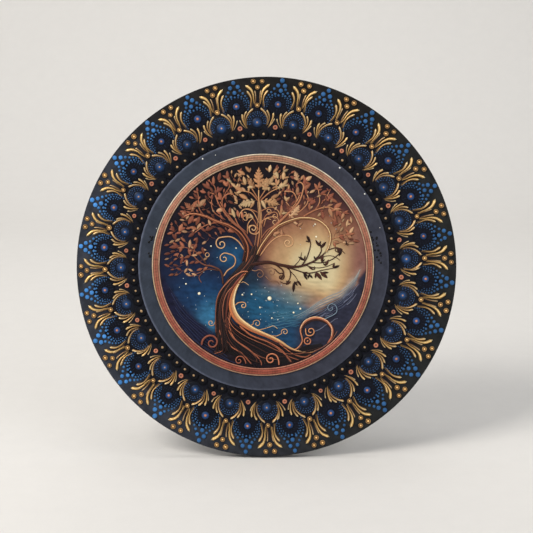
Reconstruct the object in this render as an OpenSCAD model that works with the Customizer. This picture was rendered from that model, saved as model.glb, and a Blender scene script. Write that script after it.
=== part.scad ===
// Tree of life plaque: a round clay disc with a dotted rim and a relief tree in a copper ring.
// It stands on its rim and a hinged easel strut, and can hang from a D-ring.
// Face frame: X right, Y up the face, Z out of the face. All sizes in millimetres.

/* [Disc] */
// Diameter of the clay disc
disc_d = 300; // [200:1:400]
// Thickness of the clay disc
disc_t = 8; // [6:0.5:14]
// Bevel on the back edge of the disc
bevel = 1; // [0.5:0.1:2]
// Angle the disc leans back from upright
lean = 12; // [8:0.5:18]

/* [Medallion] */
// Outer radius of the copper ring
ring_r = 87.7; // [70:0.1:100]
// Width of the copper ring with its two bright beads
ring_w = 6.2; // [4:0.1:9]
// Height of the copper ring above the disc
ring_h = 2.2; // [1:0.1:4]
// Thickness of the picture panel
panel_t = 0.8; // [0.5:0.1:2]
// Height of the tree relief above the panel
relief_h = 1; // [0.5:0.1:2]

/* [Rim] */
// Number of dot flowers in the outer row
flowers = 24; // [16:1:32]
// Number of black beads round the slate band
bead_count = 78; // [60:1:90]
// Radius of the row of black beads
bead_row_r = 103; // [100:0.5:106]
// Angle of the first flower from the top
first_flower = 5.5; // [0:0.5:15]
// How far the hand-laid flowers creep from even spacing, in degrees
creep = 1; // [0:0.1:2]

/* [Back] */
// Height of the strut hinge above the disc's centre
hinge_y = 20; // [0:1:50]
// Angle between the disc and the open strut
opening = 20; // [15:0.5:25]
// Strut width at the foot
foot_w = 60; // [40:1:80]
// Thickness of the strut and of the easel board
board_t = 3; // [2:0.5:5]
// Height of the hanging ring's axis above the disc's centre
hang_y = 88; // [70:1:110]

/* [Hidden] */
disc_r = disc_d / 2;
pin_r = 1.2;
run = 0.05;
knuckle_r = 2.5;
leaf_t = 1;
hinge_z = -(disc_t + board_t + leaf_t + knuckle_r - 0.3);
pad_t = 3;
pad_d = 6;
lift = disc_r * cos(lean) + (disc_t - bevel) * sin(lean);
strut_lean = opening - lean;
hinge_up = lift + hinge_y * cos(lean) + hinge_z * sin(lean);
hinge_back = hinge_y * sin(lean) - hinge_z * cos(lean);
foot_back = hinge_back + hinge_up * tan(strut_lean);
front_reach = disc_r * sin(lean) + 0.5;
slide_y = (front_reach - foot_back - pad_d / 2) / 2;
med = [-2.8, 1.3];
hang_z = -(disc_t + 2.45);
wire_r = 1.25;
step = 360 / flowers;
$fn = 24;

// ---- frames ----

// From the face frame to the frame of the standing plaque
module on_face() translate([0, slide_y, lift]) rotate([90 - lean, 0, 0]) children();

// The strut's frame: origin on the hinge axis, -Y down the strut, -Z away from the disc
module in_strut() on_face() translate([0, hinge_y, hinge_z]) rotate([opening, 0, 0]) children();

// The hanging ring's frame: origin on its axis, -Y straight down
module in_ring() on_face() translate([0, hang_y, hang_z]) rotate([lean, 0, 0]) children();

// The picture's frame, on the panel's face
module on_panel() on_face() translate([med.x, med.y, panel_t]) children();

// The picture's relief, trimmed where it meets the ring
module in_ring_bounds() on_panel() intersection() {
  union() children();
  translate([0, 0, -1]) cylinder(r = ring_r - ring_w - 0.3, h = 9);
}

// The hand-laid rows drift left and up towards the middle
function drift(r) = [-2.3, 1.3] * min(1, (disc_r - r) / 38);

// Angle clockwise from the top of place k in a row of flowers, ahead at the lower left and behind opposite
function flower_angle(k) = first_flower + k * step + creep * cos(k * step - 220);

// At flower n's axis, turned clockwise from the top, with part of a pitch added
module at_flower(n, r, part = 0)
  translate(drift(r)) rotate(-flower_angle(n + part)) children();

// ---- shapes ----

// A drop of slip: a spherical cap, cut flat on top where another drop sits
module drop(r, h, top = 9) {
  s = (r * r + h * h) / (2 * h);
  intersection() {
    translate([0, 0, h - s]) sphere(r = s);
    cylinder(r = r + 1, h = top);
  }
}

// Catmull-Rom curve through points [x, y, half width]
function cr(a, b, c, d, t) =
  ((2 * b) + (c - a) * t + (2 * a - 5 * b + 4 * c - d) * t * t + (3 * b - a - 3 * c + d) * t * t * t) / 2;
function curve(p, n) = [
  for (i = [0:len(p) - 2], k = [0:n - 1])
    cr(p[max(i - 1, 0)], p[i], p[i + 1], p[min(i + 2, len(p) - 1)], k / n),
  p[len(p) - 1]
];

// Unit normal of a curve at point i
function side(s, i) =
  let (d = s[min(i + 1, len(s) - 1)] - s[max(i - 1, 0)])
  [-d.y, d.x] / norm([d.x, d.y]);

// Outline of a band along a curve, one half width either side
function band(s) = concat(
  [for (i = [0:len(s) - 1]) [s[i].x, s[i].y] + side(s, i) * max(s[i].z, 0.12)],
  [for (i = [len(s) - 1:-1:0]) [s[i].x, s[i].y] - side(s, i) * max(s[i].z, 0.12)]
);

// A relief strand through points [x, y, half width]
module strand(p, h = relief_h, n = 3) linear_extrude(h) polygon(band(curve(p, n)));

// A strand of even half width w through points [x, y]
module line(p, w, h = relief_h, n = 3) strand([for (q = p) [q.x, q.y, w]], h, n);

// A strand that tapers from half width a to half width b
module taper(p, a, b, h = relief_h, n = 3)
  strand([for (i = [0:len(p) - 1]) [p[i].x, p[i].y, a + (b - a) * i / (len(p) - 1)]], h, n);

// A teardrop stroke, round at its head and fine at its tail
module teardrop(p, head, tail, h) {
  n = len(p) - 1;
  union() {
    strand([for (i = [0:n]) [p[i].x, p[i].y, head * 0.98 + (tail - head) * i / n]], h);
    translate([p[0].x, p[0].y, 0]) cylinder(r = head, h = h);
  }
}

// A leaf of length l and half width w, its stalk end at the origin, pointing along +X
module leaf(l, w, h)
  linear_extrude(h) polygon([
    [0, -0.15], [0.2 * l, -0.75 * w], [0.45 * l, -w], [0.72 * l, -0.7 * w], [l, 0],
    [0.72 * l, 0.7 * w], [0.45 * l, w], [0.2 * l, 0.75 * w], [0, 0.15]
  ]);

// Leaves at [x, y, angle, length]
module leaves(list, h = relief_h * 0.8, fat = 0.22)
  for (q = list) translate([q[0], q[1], 0]) rotate(q[2]) leaf(q[3], q[3] * fat, h);

// ---- disc and medallion ----

module base_disc() color("#17181a") on_face() rotate_extrude() polygon([
  [0, -disc_t], [disc_r - bevel, -disc_t], [disc_r, bevel - disc_t], [disc_r, -0.6], [disc_r - 0.6, 0], [0, 0]
]);

// A flat ring on the face between two radii
module washer(c, r1, r2, h) translate([c.x, c.y, 0]) difference() {
  cylinder(r = r2, h = h);
  translate([0, 0, -1]) cylinder(r = r1, h = h + 2);
}

module slate_band() color("#3a3e4e") on_face() difference() {
  translate(drift(bead_row_r)) cylinder(r = bead_row_r - 4, h = 0.4);
  translate([med.x, med.y, -1]) cylinder(r = ring_r, h = 3);
}

module ring_outer_bead() color("#d8cdb4") on_face() washer(med, ring_r - 1.2, ring_r, ring_h * 0.8);

module copper_ring() color("#b4705a") on_face() washer(med, ring_r - ring_w + 1.1, ring_r - 1.2, ring_h);

module ring_inner_bead() color("#cdb79c")
  on_face() washer(med, ring_r - ring_w, ring_r - ring_w + 1.1, ring_h * 0.8);

module medallion_panel() color("#1c2338")
  on_face() translate([med.x, med.y, 0]) cylinder(r = ring_r - ring_w, h = panel_t);

// ---- tree ----

module trunk() color("#1d1416") in_ring_bounds() strand([
  [-31, -69, 9], [-32, -58, 5.4], [-32.5, -46, 5], [-31, -31, 5.2], [-26, -17, 4.8],
  [-16.5, -5, 4.6], [-8, 6, 4.4], [-5, 15, 3.4]
], relief_h, 4);

module trunk_crescent() color("#e0a057") on_panel() strand([
  [-12.6, -5.6, 0.4], [-17.5, -11.5, 1.5], [-22.6, -20, 2.2], [-24.6, -31, 2.6], [-20.4, -42, 3],
  [-8.6, -51, 2.6], [3, -56.3, 2], [13, -60.6, 1.4], [24, -67.2, 0.8], [37.6, -69, 0.6], [50, -63.4, 0.4]
], relief_h * 1.3, 4);

module left_limbs() color("#a5654a") on_panel() {
  strand([
    [-14, 2, 2.6], [-12.4, 13, 2.3], [-17.6, 23.6, 1.9], [-26.5, 30.7, 1.4], [-36.6, 34.3, 1.1],
    [-46.1, 38.5, 0.9], [-56.3, 40.2, 0.6], [-62.2, 37.9, 0.3]
  ]);
  taper([[-34, 33.6], [-41, 32.6], [-47.3, 30.1], [-53.9, 25.4]], 0.8, 0.3);
  taper([[-8, 14], [-15.8, 26.6], [-24, 33.5], [-31, 42], [-35.4, 49.2], [-38.4, 55.7], [-43.8, 56.9]], 1.3, 0.3);
  taper([[-29.5, 35.5], [-37.2, 40.2], [-40.2, 45], [-40.5, 51.5]], 0.7, 0.3);
  taper([[-29.5, 38], [-31.9, 46.8], [-31.9, 52.1], [-27.7, 55.9], [-23, 55.7]], 0.7, 1);
  taper([[-31.9, 51], [-29.5, 56.9], [-26.5, 61.6], [-27.7, 67.6]], 0.6, 0.3);
  taper([[-35.4, 49.2], [-37.2, 57.5], [-38.4, 62.2], [-43.2, 67]], 0.6, 0.3);
  taper([[-46.1, 38.5], [-50.3, 44.4], [-50.9, 52.7], [-51.5, 57.5]], 0.7, 0.3);
  taper([[-13, 25.6], [-18.8, 30.7], [-22, 37]], 0.8, 0.4);
}

module right_limbs() color("#c79a6e") on_panel() {
  strand([
    [-5, 8, 2.2], [-0.5, 16.5, 1.5], [10.2, 29.5, 1.2], [23.3, 35.5, 1], [32.8, 37.3, 0.9], [43.5, 35.5, 0.8],
    [51.3, 28.9, 0.7], [53.4, 21, 0.7], [51.8, 14, 0.7], [49.6, 10.2, 0.6]
  ]);
  taper([[31, 37.6], [41.1, 43.2], [50.7, 45.6], [56.6, 43.6], [62.5, 41.4]], 0.9, 0.3);
  taper([[41.1, 43.2], [44.1, 48], [44.7, 52.1], [43.5, 60]], 0.8, 0.3);
  taper([[5.5, 26], [19.1, 39.6], [28.1, 49.2], [31.6, 58.7], [31.8, 62.8], [29.3, 65.2], [26.9, 64]], 1.2, 0.4);
  taper([[19.1, 37.3], [26.3, 40.2], [33.4, 46.2], [35.8, 51.5], [34.6, 55.7]], 0.7, 0.4);
  taper([[25.7, 46.8], [26.3, 52.7], [23.3, 57.5], [16.8, 58.1]], 0.6, 1);
  taper([[19.7, 40.2], [21, 45.6], [18, 49.8]], 0.5, 0.4);
  taper([[45.9, 48], [50.1, 53.3], [52.4, 58]], 0.5, 0.3);
  taper([[53.2, 19.6], [59, 22], [65, 23.6]], 0.6, 0.3);
}

module crown_stem() color("#c99b6a") on_panel() {
  taper([[-4.6, 17], [-2.7, 25.4], [-2.2, 37.3], [-3.3, 52.7], [-3.3, 59.3]], 1.4, 0.6);
  taper([[-3.5, 50], [-9.8, 56.9], [-17.6, 58.7], [-22, 61.6]], 0.6, 0.4);
  taper([[-2.6, 50], [5, 56.9], [12, 60.4], [18, 62.5]], 0.6, 0.4);
  taper([[-3.7, 52], [-9.3, 61], [-10.5, 63]], 0.5, 0.4);
  taper([[-2.7, 52], [2.6, 60.4], [4, 62.6]], 0.5, 0.4);
  taper([[-3.9, 41.4], [-12.3, 44.4], [-17.6, 41.4], [-18.8, 37.3]], 0.5, 0.3);
  taper([[-2.2, 42], [5.8, 45.6], [11.6, 43], [13.8, 38.4]], 0.5, 0.3);
  taper([[-6.5, 24.4], [-4.5, 28.3], [-7, 31], [-10.6, 30.6], [-11, 28.4]], 0.6, 0.4);
  taper([[-12.3, 24], [-11.7, 32.5], [-7.5, 37.3]], 0.5, 0.3);
  taper([[0.6, 30], [2.6, 36.4], [6.4, 35.6]], 0.5, 0.3);
}

module low_branches() color("#8d5843") on_panel() {
  taper([[-31.4, -16], [-33.1, -5.4], [-39.6, -1.3], [-47.3, 0.5], [-54.4, 6.8], [-53.9, 12.5]], 1.1, 0.4);
  taper([[-44.6, 0.6], [-50.6, 8.4], [-57, 12.4], [-66, 15]], 0.7, 0.3);
  taper([[-34.2, -4.6], [-43.4, -3.4], [-50.9, -6.6], [-57.4, -9]], 0.7, 0.3);
  taper([[-45.4, -4], [-50.4, -9.4], [-48.6, -14]], 0.5, 0.3);
}

module dark_branches() color("#3a1d14") on_panel() {
  taper([[-8, 0.6], [4, 2], [14.4, -0.2], [28.1, -1.4], [41.1, 3.4], [50.1, 10.5]], 1.5, 0.5);
  taper([[12, 0], [23.3, -3.1], [35.2, -6.6], [47.1, -4.2], [58, -2.2]], 0.7, 0.3);
  taper([[30, -1.2], [34.6, 5.6], [37.6, 16.5], [35.2, 22.4]], 0.6, 0.3);
  taper([[42, 4], [45.9, 10.5], [45.6, 14], [43.6, 17.6]], 0.6, 0.3);
  taper([[51.2, 11.6], [59, 13.5], [64.9, 8.7]], 0.5, 0.3);
  taper([[8.6, 1], [15.6, -4.2], [15.6, -9], [13.4, -10.8]], 0.6, 0.7);
  taper([[16.2, -0.6], [21.5, -4.8], [20.9, -11.4], [17.4, -14.7], [13.4, -13.2]], 0.6, 0.3);
  taper([[20.6, -4], [25, -8.6], [27.4, -12]], 0.4, 0.3);
}

module left_leaves() color("#b8694a") in_ring_bounds() leaves([
  [-54, 42, 138, 13], [-51.5, 57, 96, 7], [-51, 52, 130, 6], [-50.5, 46, 48, 8], [-60, 40.5, 160, 6],
  [-58, 40, 205, 7], [-62, 38, 150, 6], [-55, 39, 240, 8], [-50, 38.5, 250, 8], [-49, 33, 238, 6],
  [-54, 25.4, 215, 6], [-52, 28, 160, 6], [-66, 15, 190, 8], [-62, 14, 130, 6], [-58, 13, 85, 7],
  [-55, 12, 60, 6], [-64, 14.6, 250, 5], [-59, 12.6, 290, 6], [-68, 20, 130, 6], [-70, 26, 115, 6],
  [-66, 26, 70, 7], [-72, 32, 120, 6], [-43.5, 67, 120, 6], [-39, 63, 90, 7], [-41, 60, 150, 8],
  [-37.4, 57, 35, 7], [-45, 57, 165, 5], [-27.7, 67.4, 95, 7], [-28, 62, 130, 6], [-26, 61, 40, 5],
  [-35, 66, 80, 7], [-33, 51, 105, 7], [-37, 42, 20, 7], [-40.4, 51, 85, 5], [-46, 46, 110, 5],
  [-46, 27, 20, 7], [-36, 29, 335, 7], [-28, 27.4, 345, 6], [-52, 22, 265, 6], [-48, 14, 285, 6],
  [-63, 6, 250, 6], [-66, 9, 200, 5], [-60, 4, 270, 5]
]);

module right_leaves() color("#c98a5c") in_ring_bounds() leaves([
  [44, 60, 82, 8], [43.6, 59, 120, 6], [45, 55, 35, 7], [42, 50, 165, 9], [50, 50, 48, 13],
  [52.4, 57.6, 70, 6], [56, 44, 40, 8], [62.5, 41.4, 350, 6], [59, 43, 300, 8], [52, 45, 290, 8],
  [46, 44, 280, 9], [62, 36, 70, 6], [66, 30, 80, 6], [68, 24, 60, 7], [65, 23.6, 10, 8],
  [60, 23, 320, 6], [56, 30, 75, 7], [58, 34, 110, 6], [34.6, 55, 100, 6], [31.6, 59, 40, 8],
  [31.6, 63, 60, 8], [33, 66, 35, 8], [27, 55, 85, 7], [20.5, 36.5, 50, 15], [37, 43, 95, 6],
  [28, 66, 110, 9], [26, 68, 160, 5], [22, 60, 200, 5], [15, 22, 95, 6], [27, 30, 40, 6],
  [8, 24, 20, 6], [24, 34, 330, 5], [55, 18, 355, 6], [70, 33, 100, 5]
]);

module crown_leaves() color("#d8b27c") in_ring_bounds() {
  leaves([[-3.3, 59.3, 90, 17]], relief_h, 0.24);
  leaves([
    [-3.6, 62, 148, 7], [-3, 62, 32, 7], [-3.4, 68, 138, 5], [-3.2, 68, 42, 5], [-5, 49.6, 200, 9],
    [-12, 47.6, 238, 7], [-15, 48.6, 215, 8], [-1.6, 50, 345, 9], [5, 49.4, 300, 7], [9, 50.4, 318, 7],
    [-15, 58.4, 160, 8], [-21, 61, 140, 6], [-13.6, 63, 105, 7], [-10.5, 62.6, 80, 6], [11, 60, 30, 9],
    [16, 62, 60, 7], [4, 62, 100, 7], [5, 63, 65, 8], [-14, 71, 150, 7], [-10, 73, 130, 6],
    [5, 73, 80, 6], [8, 72, 50, 7], [12, 68, 110, 7], [16, 67, 85, 7], [-22, 37, 110, 8],
    [-13, 36, 70, 5], [-7.5, 36.6, 130, 5], [14, 39, 80, 7], [-20, 49, 120, 5], [19, 50, 115, 5]
  ]);
}

module dark_leaves() color("#2c1512") on_panel() leaves([
  [27, -12, 305, 6], [24.6, -13.6, 265, 8], [22, -13, 215, 5], [32, -6.8, 300, 6], [36, -7, 312, 5],
  [31, -5.4, 320, 6], [42, -5.6, 305, 8], [45, -5.4, 320, 8], [40, -4, 150, 5], [55, -2.6, 20, 6],
  [33, 3.4, 150, 6], [45.4, 13, 50, 7], [44.4, 14.6, 120, 6], [41, 2.6, 60, 5], [62, 12.4, 250, 6],
  [59, 14, 285, 6], [66, 15.6, 100, 4], [37.4, 18, 120, 6], [46, 2.4, 75, 6], [49, -1, 60, 6]
], relief_h * 0.7);

module roots() color("#8a4a37") in_ring_bounds() {
  taper([[-25.4, -37], [-26.5, -48.2], [-21.8, -58.9], [-11.7, -66.1], [-2.7, -74.4], [-1, -80.4]], 0.7, 0.5);
  taper([[-18.6, -48], [-9, -55.6], [4, -60.8], [14, -66.6], [19.6, -73], [22.4, -77.4]], 0.9, 0.5);
  taper([[13, -62], [23.3, -70], [33, -73.6], [38, -71.4]], 0.6, 0.4);
  taper([[8, -62.6], [18, -71], [28, -76.4]], 0.5, 0.4);
  taper([[-29.6, -55], [-25.9, -63.7], [-17.6, -69], [-12.3, -74.4], [-8.7, -79.8]], 0.8, 0.5);
  taper([[-34.6, -50], [-32.4, -60], [-31.8, -67.4], [-38.4, -71.4]], 0.8, 0.4);
}

module root_scrolls() color("#c07a58") on_panel() {
  strand([
    [20, -65.4, 0.5], [26, -66.4, 0.6], [31, -60.1, 0.7], [29.6, -51.2, 0.9], [33.4, -44.7, 1.2],
    [41.1, -41.7, 1.4], [49.5, -43.9, 1.4], [54.4, -50, 1.3], [54.2, -56.8, 1.1], [51, -61.9, 0.8]
  ], relief_h * 1.2);
  taper([[33.6, -47], [33.2, -51.2], [35.8, -54.6], [39.4, -54.9], [40.9, -52.2], [39, -50]], 0.5, 0.5);
  translate([35.2, -60.1, 0]) washer([0, 0], 2.1, 3.5, relief_h);
  taper([
    [-48, -61.9], [-46.1, -56.9], [-40.8, -55], [-35.8, -56.8], [-34.4, -60.7], [-36, -64.3], [-39.4, -64.6]
  ], 0.7, 0.7, relief_h * 1.2);
  taper([[12.2, -80], [12.6, -76], [10.4, -72], [6.1, -70.2], [2, -72], [1.6, -75.6], [4.4, -77.4]], 0.5, 0.7);
  taper([[-23, -77.6], [-23.3, -74.9], [-21.2, -72.9], [-18.4, -74.1], [-18.2, -76.6], [-20, -77.4]], 0.5, 0.4);
}

module tendrils() color("#d9b48b") on_panel() {
  taper([
    [-16, 11], [-20.6, 18.6], [-27.7, 22], [-34.3, 21.4], [-37.4, 17.2], [-36.2, 12.9], [-32.5, 11.4],
    [-29.6, 14], [-31, 16.4]
  ], 0.6, 0.6);
  taper([
    [-30.7, -13.2], [-28.8, -7.4], [-23.4, -1.6], [-22.2, 3], [-24.7, 7.4], [-29.5, 8.8], [-33.7, 6.9],
    [-34.9, 4], [-33.1, 1.9], [-31.4, 3.4]
  ], 0.7, 0.5);
  translate([-44.1, 8.4, 0]) washer([0, 0], 0.9, 1.9, relief_h * 0.7);
  taper([
    [-0.5, 13.5], [5.5, 20.8], [14.4, 24.2], [21.5, 22.8], [24.2, 18.8], [22.9, 14.9], [19.5, 13.9], [17, 15.9]
  ], 0.6, 0.5);
  taper([[-22, -30.6], [-18.2, -29], [-14.8, -30.1], [-13.3, -32.8], [-14.9, -34.5], [-16.6, -33.4]], 0.5, 0.5);
  taper([[-19, -14.6], [-15.2, -13.5], [-11.1, -16.1]], 0.4, 0.2);
  taper([[-9.9, -47.9], [-7.9, -46.8], [-7.9, -44.6], [-5.1, -43.2], [-1.4, -45.3], [-1.6, -48.8]], 0.3, 0.4);
  taper([[-9.3, -49.6], [-3.3, -51.2], [4.3, -49.4], [8.2, -48.2], [11.6, -50.4]], 0.4, 0.3);
  taper([[4.9, -55.4], [10.2, -56.2], [14.6, -54.2], [14.4, -51.2], [17.4, -50], [20, -52.4], [19.7, -55.6]], 0.4, 0.3);
  taper([[-38.3, -42.9], [-38.6, -46.9], [-41.4, -48], [-43.9, -46.3], [-43.7, -44.1]], 0.4, 0.4);
}

module stars() color("#efe3c0") on_panel() for (q = [
  [-50.3, -22.6, 1.4], [5.2, -26.5, 2.1], [-60.7, -15, 0.9], [-16.2, -23.6, 0.8], [-9, -23.2, 0.8],
  [-2.4, -33.6, 0.8], [29.5, -34.6, 0.9], [24.2, -37.6, 0.9], [7, -42, 0.7], [11.8, -43.2, 0.6],
  [27.6, -30.4, 0.7], [-21.2, 13.2, 0.7], [41.2, 32, 0.8], [42, 22.2, 0.9], [-41, 14.8, 0.7]
]) translate([q[0], q[1], 0]) drop(q[2], q[2] * 0.5);

// ---- rim ----

module flower_eyes() color("#3c6da6") on_face() for (n = [0:flowers - 1])
  at_flower(n, 127.4) translate([0, 127.4, 0]) drop(2.9, 1, 0.8);

module flower_eye_beads() color("#c88f72") on_face() for (n = [0:flowers - 1])
  at_flower(n, 127.4) translate([0, 127.4, 0.8]) drop(1.3, 0.7);

module flower_tip_dots() color("#4a80bd") on_face() for (n = [0:flowers - 1], q = [
  [0, 147.3, 1.7], [-2.7, 143.2, 1.6], [2.7, 143.2, 1.6], [0, 138.9, 1.6]
]) at_flower(n, q.y) translate([q.x, q.y, 0]) drop(q.z, 0.9);

module flower_petal_dots() color("#36598c") on_face() for (n = [0:flowers - 1], s = [-1, 1], q = [
  [4.7, 139.9, 1.15], [3.2, 136.4, 1.05], [7, 137.6, 0.95], [5.6, 134.7, 0.95]
]) at_flower(n, q.y) translate([s * q.x, q.y, 0]) drop(q.z, 0.6);

module inner_flower_eyes() color("#2f5d9b") on_face() for (n = [0:flowers - 1])
  at_flower(n, 112.5, 0.5) translate([0, 112.5, 0]) drop(3.6, 1, 0.8);

module inner_eye_beads() color("#b98c6c") on_face() for (n = [0:flowers - 1])
  at_flower(n, 112.5, 0.5) translate([0, 112.5, 0.8]) drop(1.1, 0.6);

module inner_petal_dots() color("#2b4877") on_face() for (n = [0:flowers - 1], a = [-75:25:75])
  at_flower(n, 112.5, 0.5) translate([7 * sin(a), 112.5 + 7.6 * cos(a), 0]) drop(0.8, 0.45);

// Both mirror halves of a stroke at every inner flower's axis
module stroke_pairs(r, p, head, tail, h) for (n = [0:flowers - 1], s = [-1, 1])
  at_flower(n, r, 0.5) teardrop([for (q = p) [s * q.x, q.y]], head, tail, h);

module fan_strokes() color("#e0b463") on_face() {
  stroke_pairs(134, [[9.2, 143.1], [5.2, 139.6], [3.6, 135.3], [3.1, 131.8], [2.4, 127.4]], 1.2, 0.25, 1);
  stroke_pairs(134, [[8.3, 138.4], [5.9, 134.7], [4.9, 130.9], [5.7, 125]], 1, 0.25, 0.9);
  stroke_pairs(134, [[2.2, 137.6], [1.4, 133.5], [1.5, 129.4]], 0.6, 0.2, 0.7);
}

module arch_strokes() color("#d0a25a") on_face() {
  stroke_pairs(115, [[3.2, 124], [5.9, 121.2], [7.6, 117.6], [8.1, 114.5], [7.6, 110.4]], 1, 0.2, 0.9);
  stroke_pairs(115, [[8, 122], [9.4, 119.1], [9.8, 115.6], [8.6, 110.2]], 1, 0.2, 0.9);
  stroke_pairs(115, [[12.4, 119.9], [12.2, 116.7], [11.2, 112.9], [9.4, 109.4]], 0.9, 0.2, 0.9);
}

module rim_beads() color("#a5804f") on_face() for (n = [0:flowers - 1], q = [
  [-3.3, 146.2], [3.3, 146.2], [0, 141.2], [0, 126.3]
]) at_flower(n, q.y, 0.5) translate([q.x, q.y, 0]) drop(1.7, 1);

module copper_beads() color("#c87a58") on_face() for (n = [0:flowers - 1])
  at_flower(n, 109.5) translate([0, 109.5, 0]) drop(1.8, 1);

module black_beads() color("#0c0d10") on_face() for (n = [0:bead_count - 1])
  translate(drift(bead_row_r)) rotate(n * 360 / bead_count) translate([0, bead_row_r, 0]) drop(3.5, 1.4, 1.3);

module gold_pips() color("#b79a63") on_face() for (n = [0:bead_count - 1])
  translate(drift(bead_row_r)) rotate(n * 360 / bead_count) translate([0, bead_row_r, 1.3]) drop(1.05, 0.6);

module band_specks() color("#e9e6df") on_face() for (q = [
  [-50.4, 85, 0.7], [57.8, 77.9, 0.8], [69.6, 69.2, 0.6], [77.5, 57.3, 0.7]
]) translate([q.x, q.y, 0.4]) drop(q.z, 0.4);

// ---- back ----

module easel_board() color("#6b4a30") on_face() translate([-36, hinge_y - 44, -disc_t - board_t])
  cube([72, 74, board_t]);

// Knuckles between x1 and x2 about the hinge axis, in the local frame
module knuckle(x1, x2, bore) translate([x1, 0, 0]) rotate([0, 90, 0]) difference() {
  cylinder(r = knuckle_r, h = x2 - x1);
  translate([0, 0, -1]) cylinder(r = bore, h = x2 - x1 + 2);
}

module hinge_fixed_leaf() color("#b08d4f") on_face() translate([0, hinge_y, 0]) {
  leaf_z = -disc_t - board_t - leaf_t;
  difference() {
    union() {
      translate([-20, 2.9, leaf_z]) cube([40, 15, leaf_t]);
      for (s = [-1, 1]) translate([s * 16 - 4, 0, leaf_z]) cube([8, 4, leaf_t]);
      for (s = [-1, 1]) translate([s * 16 - 4, 0, hinge_z]) rotate([0, 90, 0]) cylinder(r = knuckle_r, h = 8);
    }
    translate([-30, 0, hinge_z]) rotate([0, 90, 0]) cylinder(r = pin_r, h = 60);
  }
}

module hinge_pin() color("#8f7440") on_face() translate([-20.8, hinge_y, hinge_z]) rotate([0, 90, 0])
  cylinder(r = pin_r, h = 41.6);

module hinge_rivets() color("#c9a767") on_face() for (x = [-14, 0, 14])
  translate([x, hinge_y + 12, -disc_t - board_t - leaf_t]) mirror([0, 0, 1]) drop(2, 0.9);

// The leaf's heel, above the pin, meets the fixed leaf when the strut is open
module hinge_moving_leaf() color("#b08d4f") in_strut() difference() {
  union() {
    translate([-11.7, 0, 0]) rotate([0, 90, 0]) cylinder(r = knuckle_r, h = 23.4);
    translate([-11.7, -24, -board_t / 2 - leaf_t]) cube([23.4, 24, leaf_t]);
    translate([-8, 0, -0.5]) cube([16, 4.85, 1]);
  }
  translate([-30, 0, 0]) rotate([0, 90, 0]) cylinder(r = pin_r + run, h = 60);
}

module strut() color("#7a5636") difference() {
  in_strut() linear_extrude(board_t, center = true)
    polygon([[-20, -3.2], [20, -3.2], [foot_w / 2, -180], [-foot_w / 2, -180]]);
  translate([-100, -200, pad_t - 300]) cube([200, 400, 300]);
}

module strut_rivets() color("#c9a767") in_strut() for (q = [[-7, -8], [7, -8], [0, -18]])
  translate([q.x, q.y, -board_t / 2 - leaf_t]) mirror([0, 0, 1]) drop(2, 0.9);

module foot_pad() color("#2a2a2a") translate([-foot_w / 2, slide_y + foot_back - pad_d / 2, 0])
  cube([foot_w, pad_d, pad_t]);

module hanger_strap() color("#b08d4f") on_face() difference() {
  union() {
    translate([-6, hang_y - 28, -disc_t - 1]) cube([12, 28, 1]);
    translate([-6, hang_y, hang_z]) rotate([0, 90, 0]) cylinder(r = 2.4, h = 12);
  }
  translate([-10, hang_y, hang_z]) rotate([0, 90, 0]) cylinder(r = wire_r + run, h = 20);
}

module hanger_rivet() color("#c9a767") on_face() translate([0, hang_y - 24, -disc_t - 1])
  mirror([0, 0, 1]) drop(2.2, 0.9);

// An elbow of wire, a quarter turn from angle a about its own centre
module elbow(x, a) translate([x, -3, 0]) rotate([0, 0, a]) rotate_extrude(angle = 90)
  translate([3, 0]) circle(r = wire_r);

module hanger_ring() color("#c2a05c") in_ring() {
  translate([-9, 0, 0]) rotate([0, 90, 0]) cylinder(r = wire_r, h = 18);
  elbow(9, 0);
  elbow(-9, 90);
  for (s = [-1, 1]) translate([s * 12, -3, 0]) rotate([90, 0, 0]) cylinder(r = wire_r, h = 4);
  translate([0, -7, 0]) rotate([0, 0, 180]) rotate_extrude(angle = 180) translate([12, 0]) circle(r = wire_r);
}

base_disc();
slate_band();
ring_outer_bead();
copper_ring();
ring_inner_bead();
medallion_panel();
trunk();
trunk_crescent();
left_limbs();
right_limbs();
crown_stem();
low_branches();
dark_branches();
left_leaves();
right_leaves();
crown_leaves();
dark_leaves();
roots();
root_scrolls();
tendrils();
stars();
flower_eyes();
flower_eye_beads();
flower_tip_dots();
flower_petal_dots();
inner_flower_eyes();
inner_eye_beads();
inner_petal_dots();
fan_strokes();
arch_strokes();
rim_beads();
copper_beads();
black_beads();
gold_pips();
band_specks();
easel_board();
hinge_fixed_leaf();
hinge_pin();
hinge_rivets();
strut();
hinge_moving_leaf();
strut_rivets();
foot_pad();
hanger_strap();
hanger_rivet();
hanger_ring();
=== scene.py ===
"""Looks of the standing tree of life plaque: clay disc, dotted rim, copper ring, relief tree and easel back.

Everything on the face is worked out in the plaque's face frame, in millimetres (x right, y up the face, z out
of the face), and then placed in metres on the leaning disc.
"""

import logging
import math
from dataclasses import dataclass, field
from enum import Enum

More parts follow.
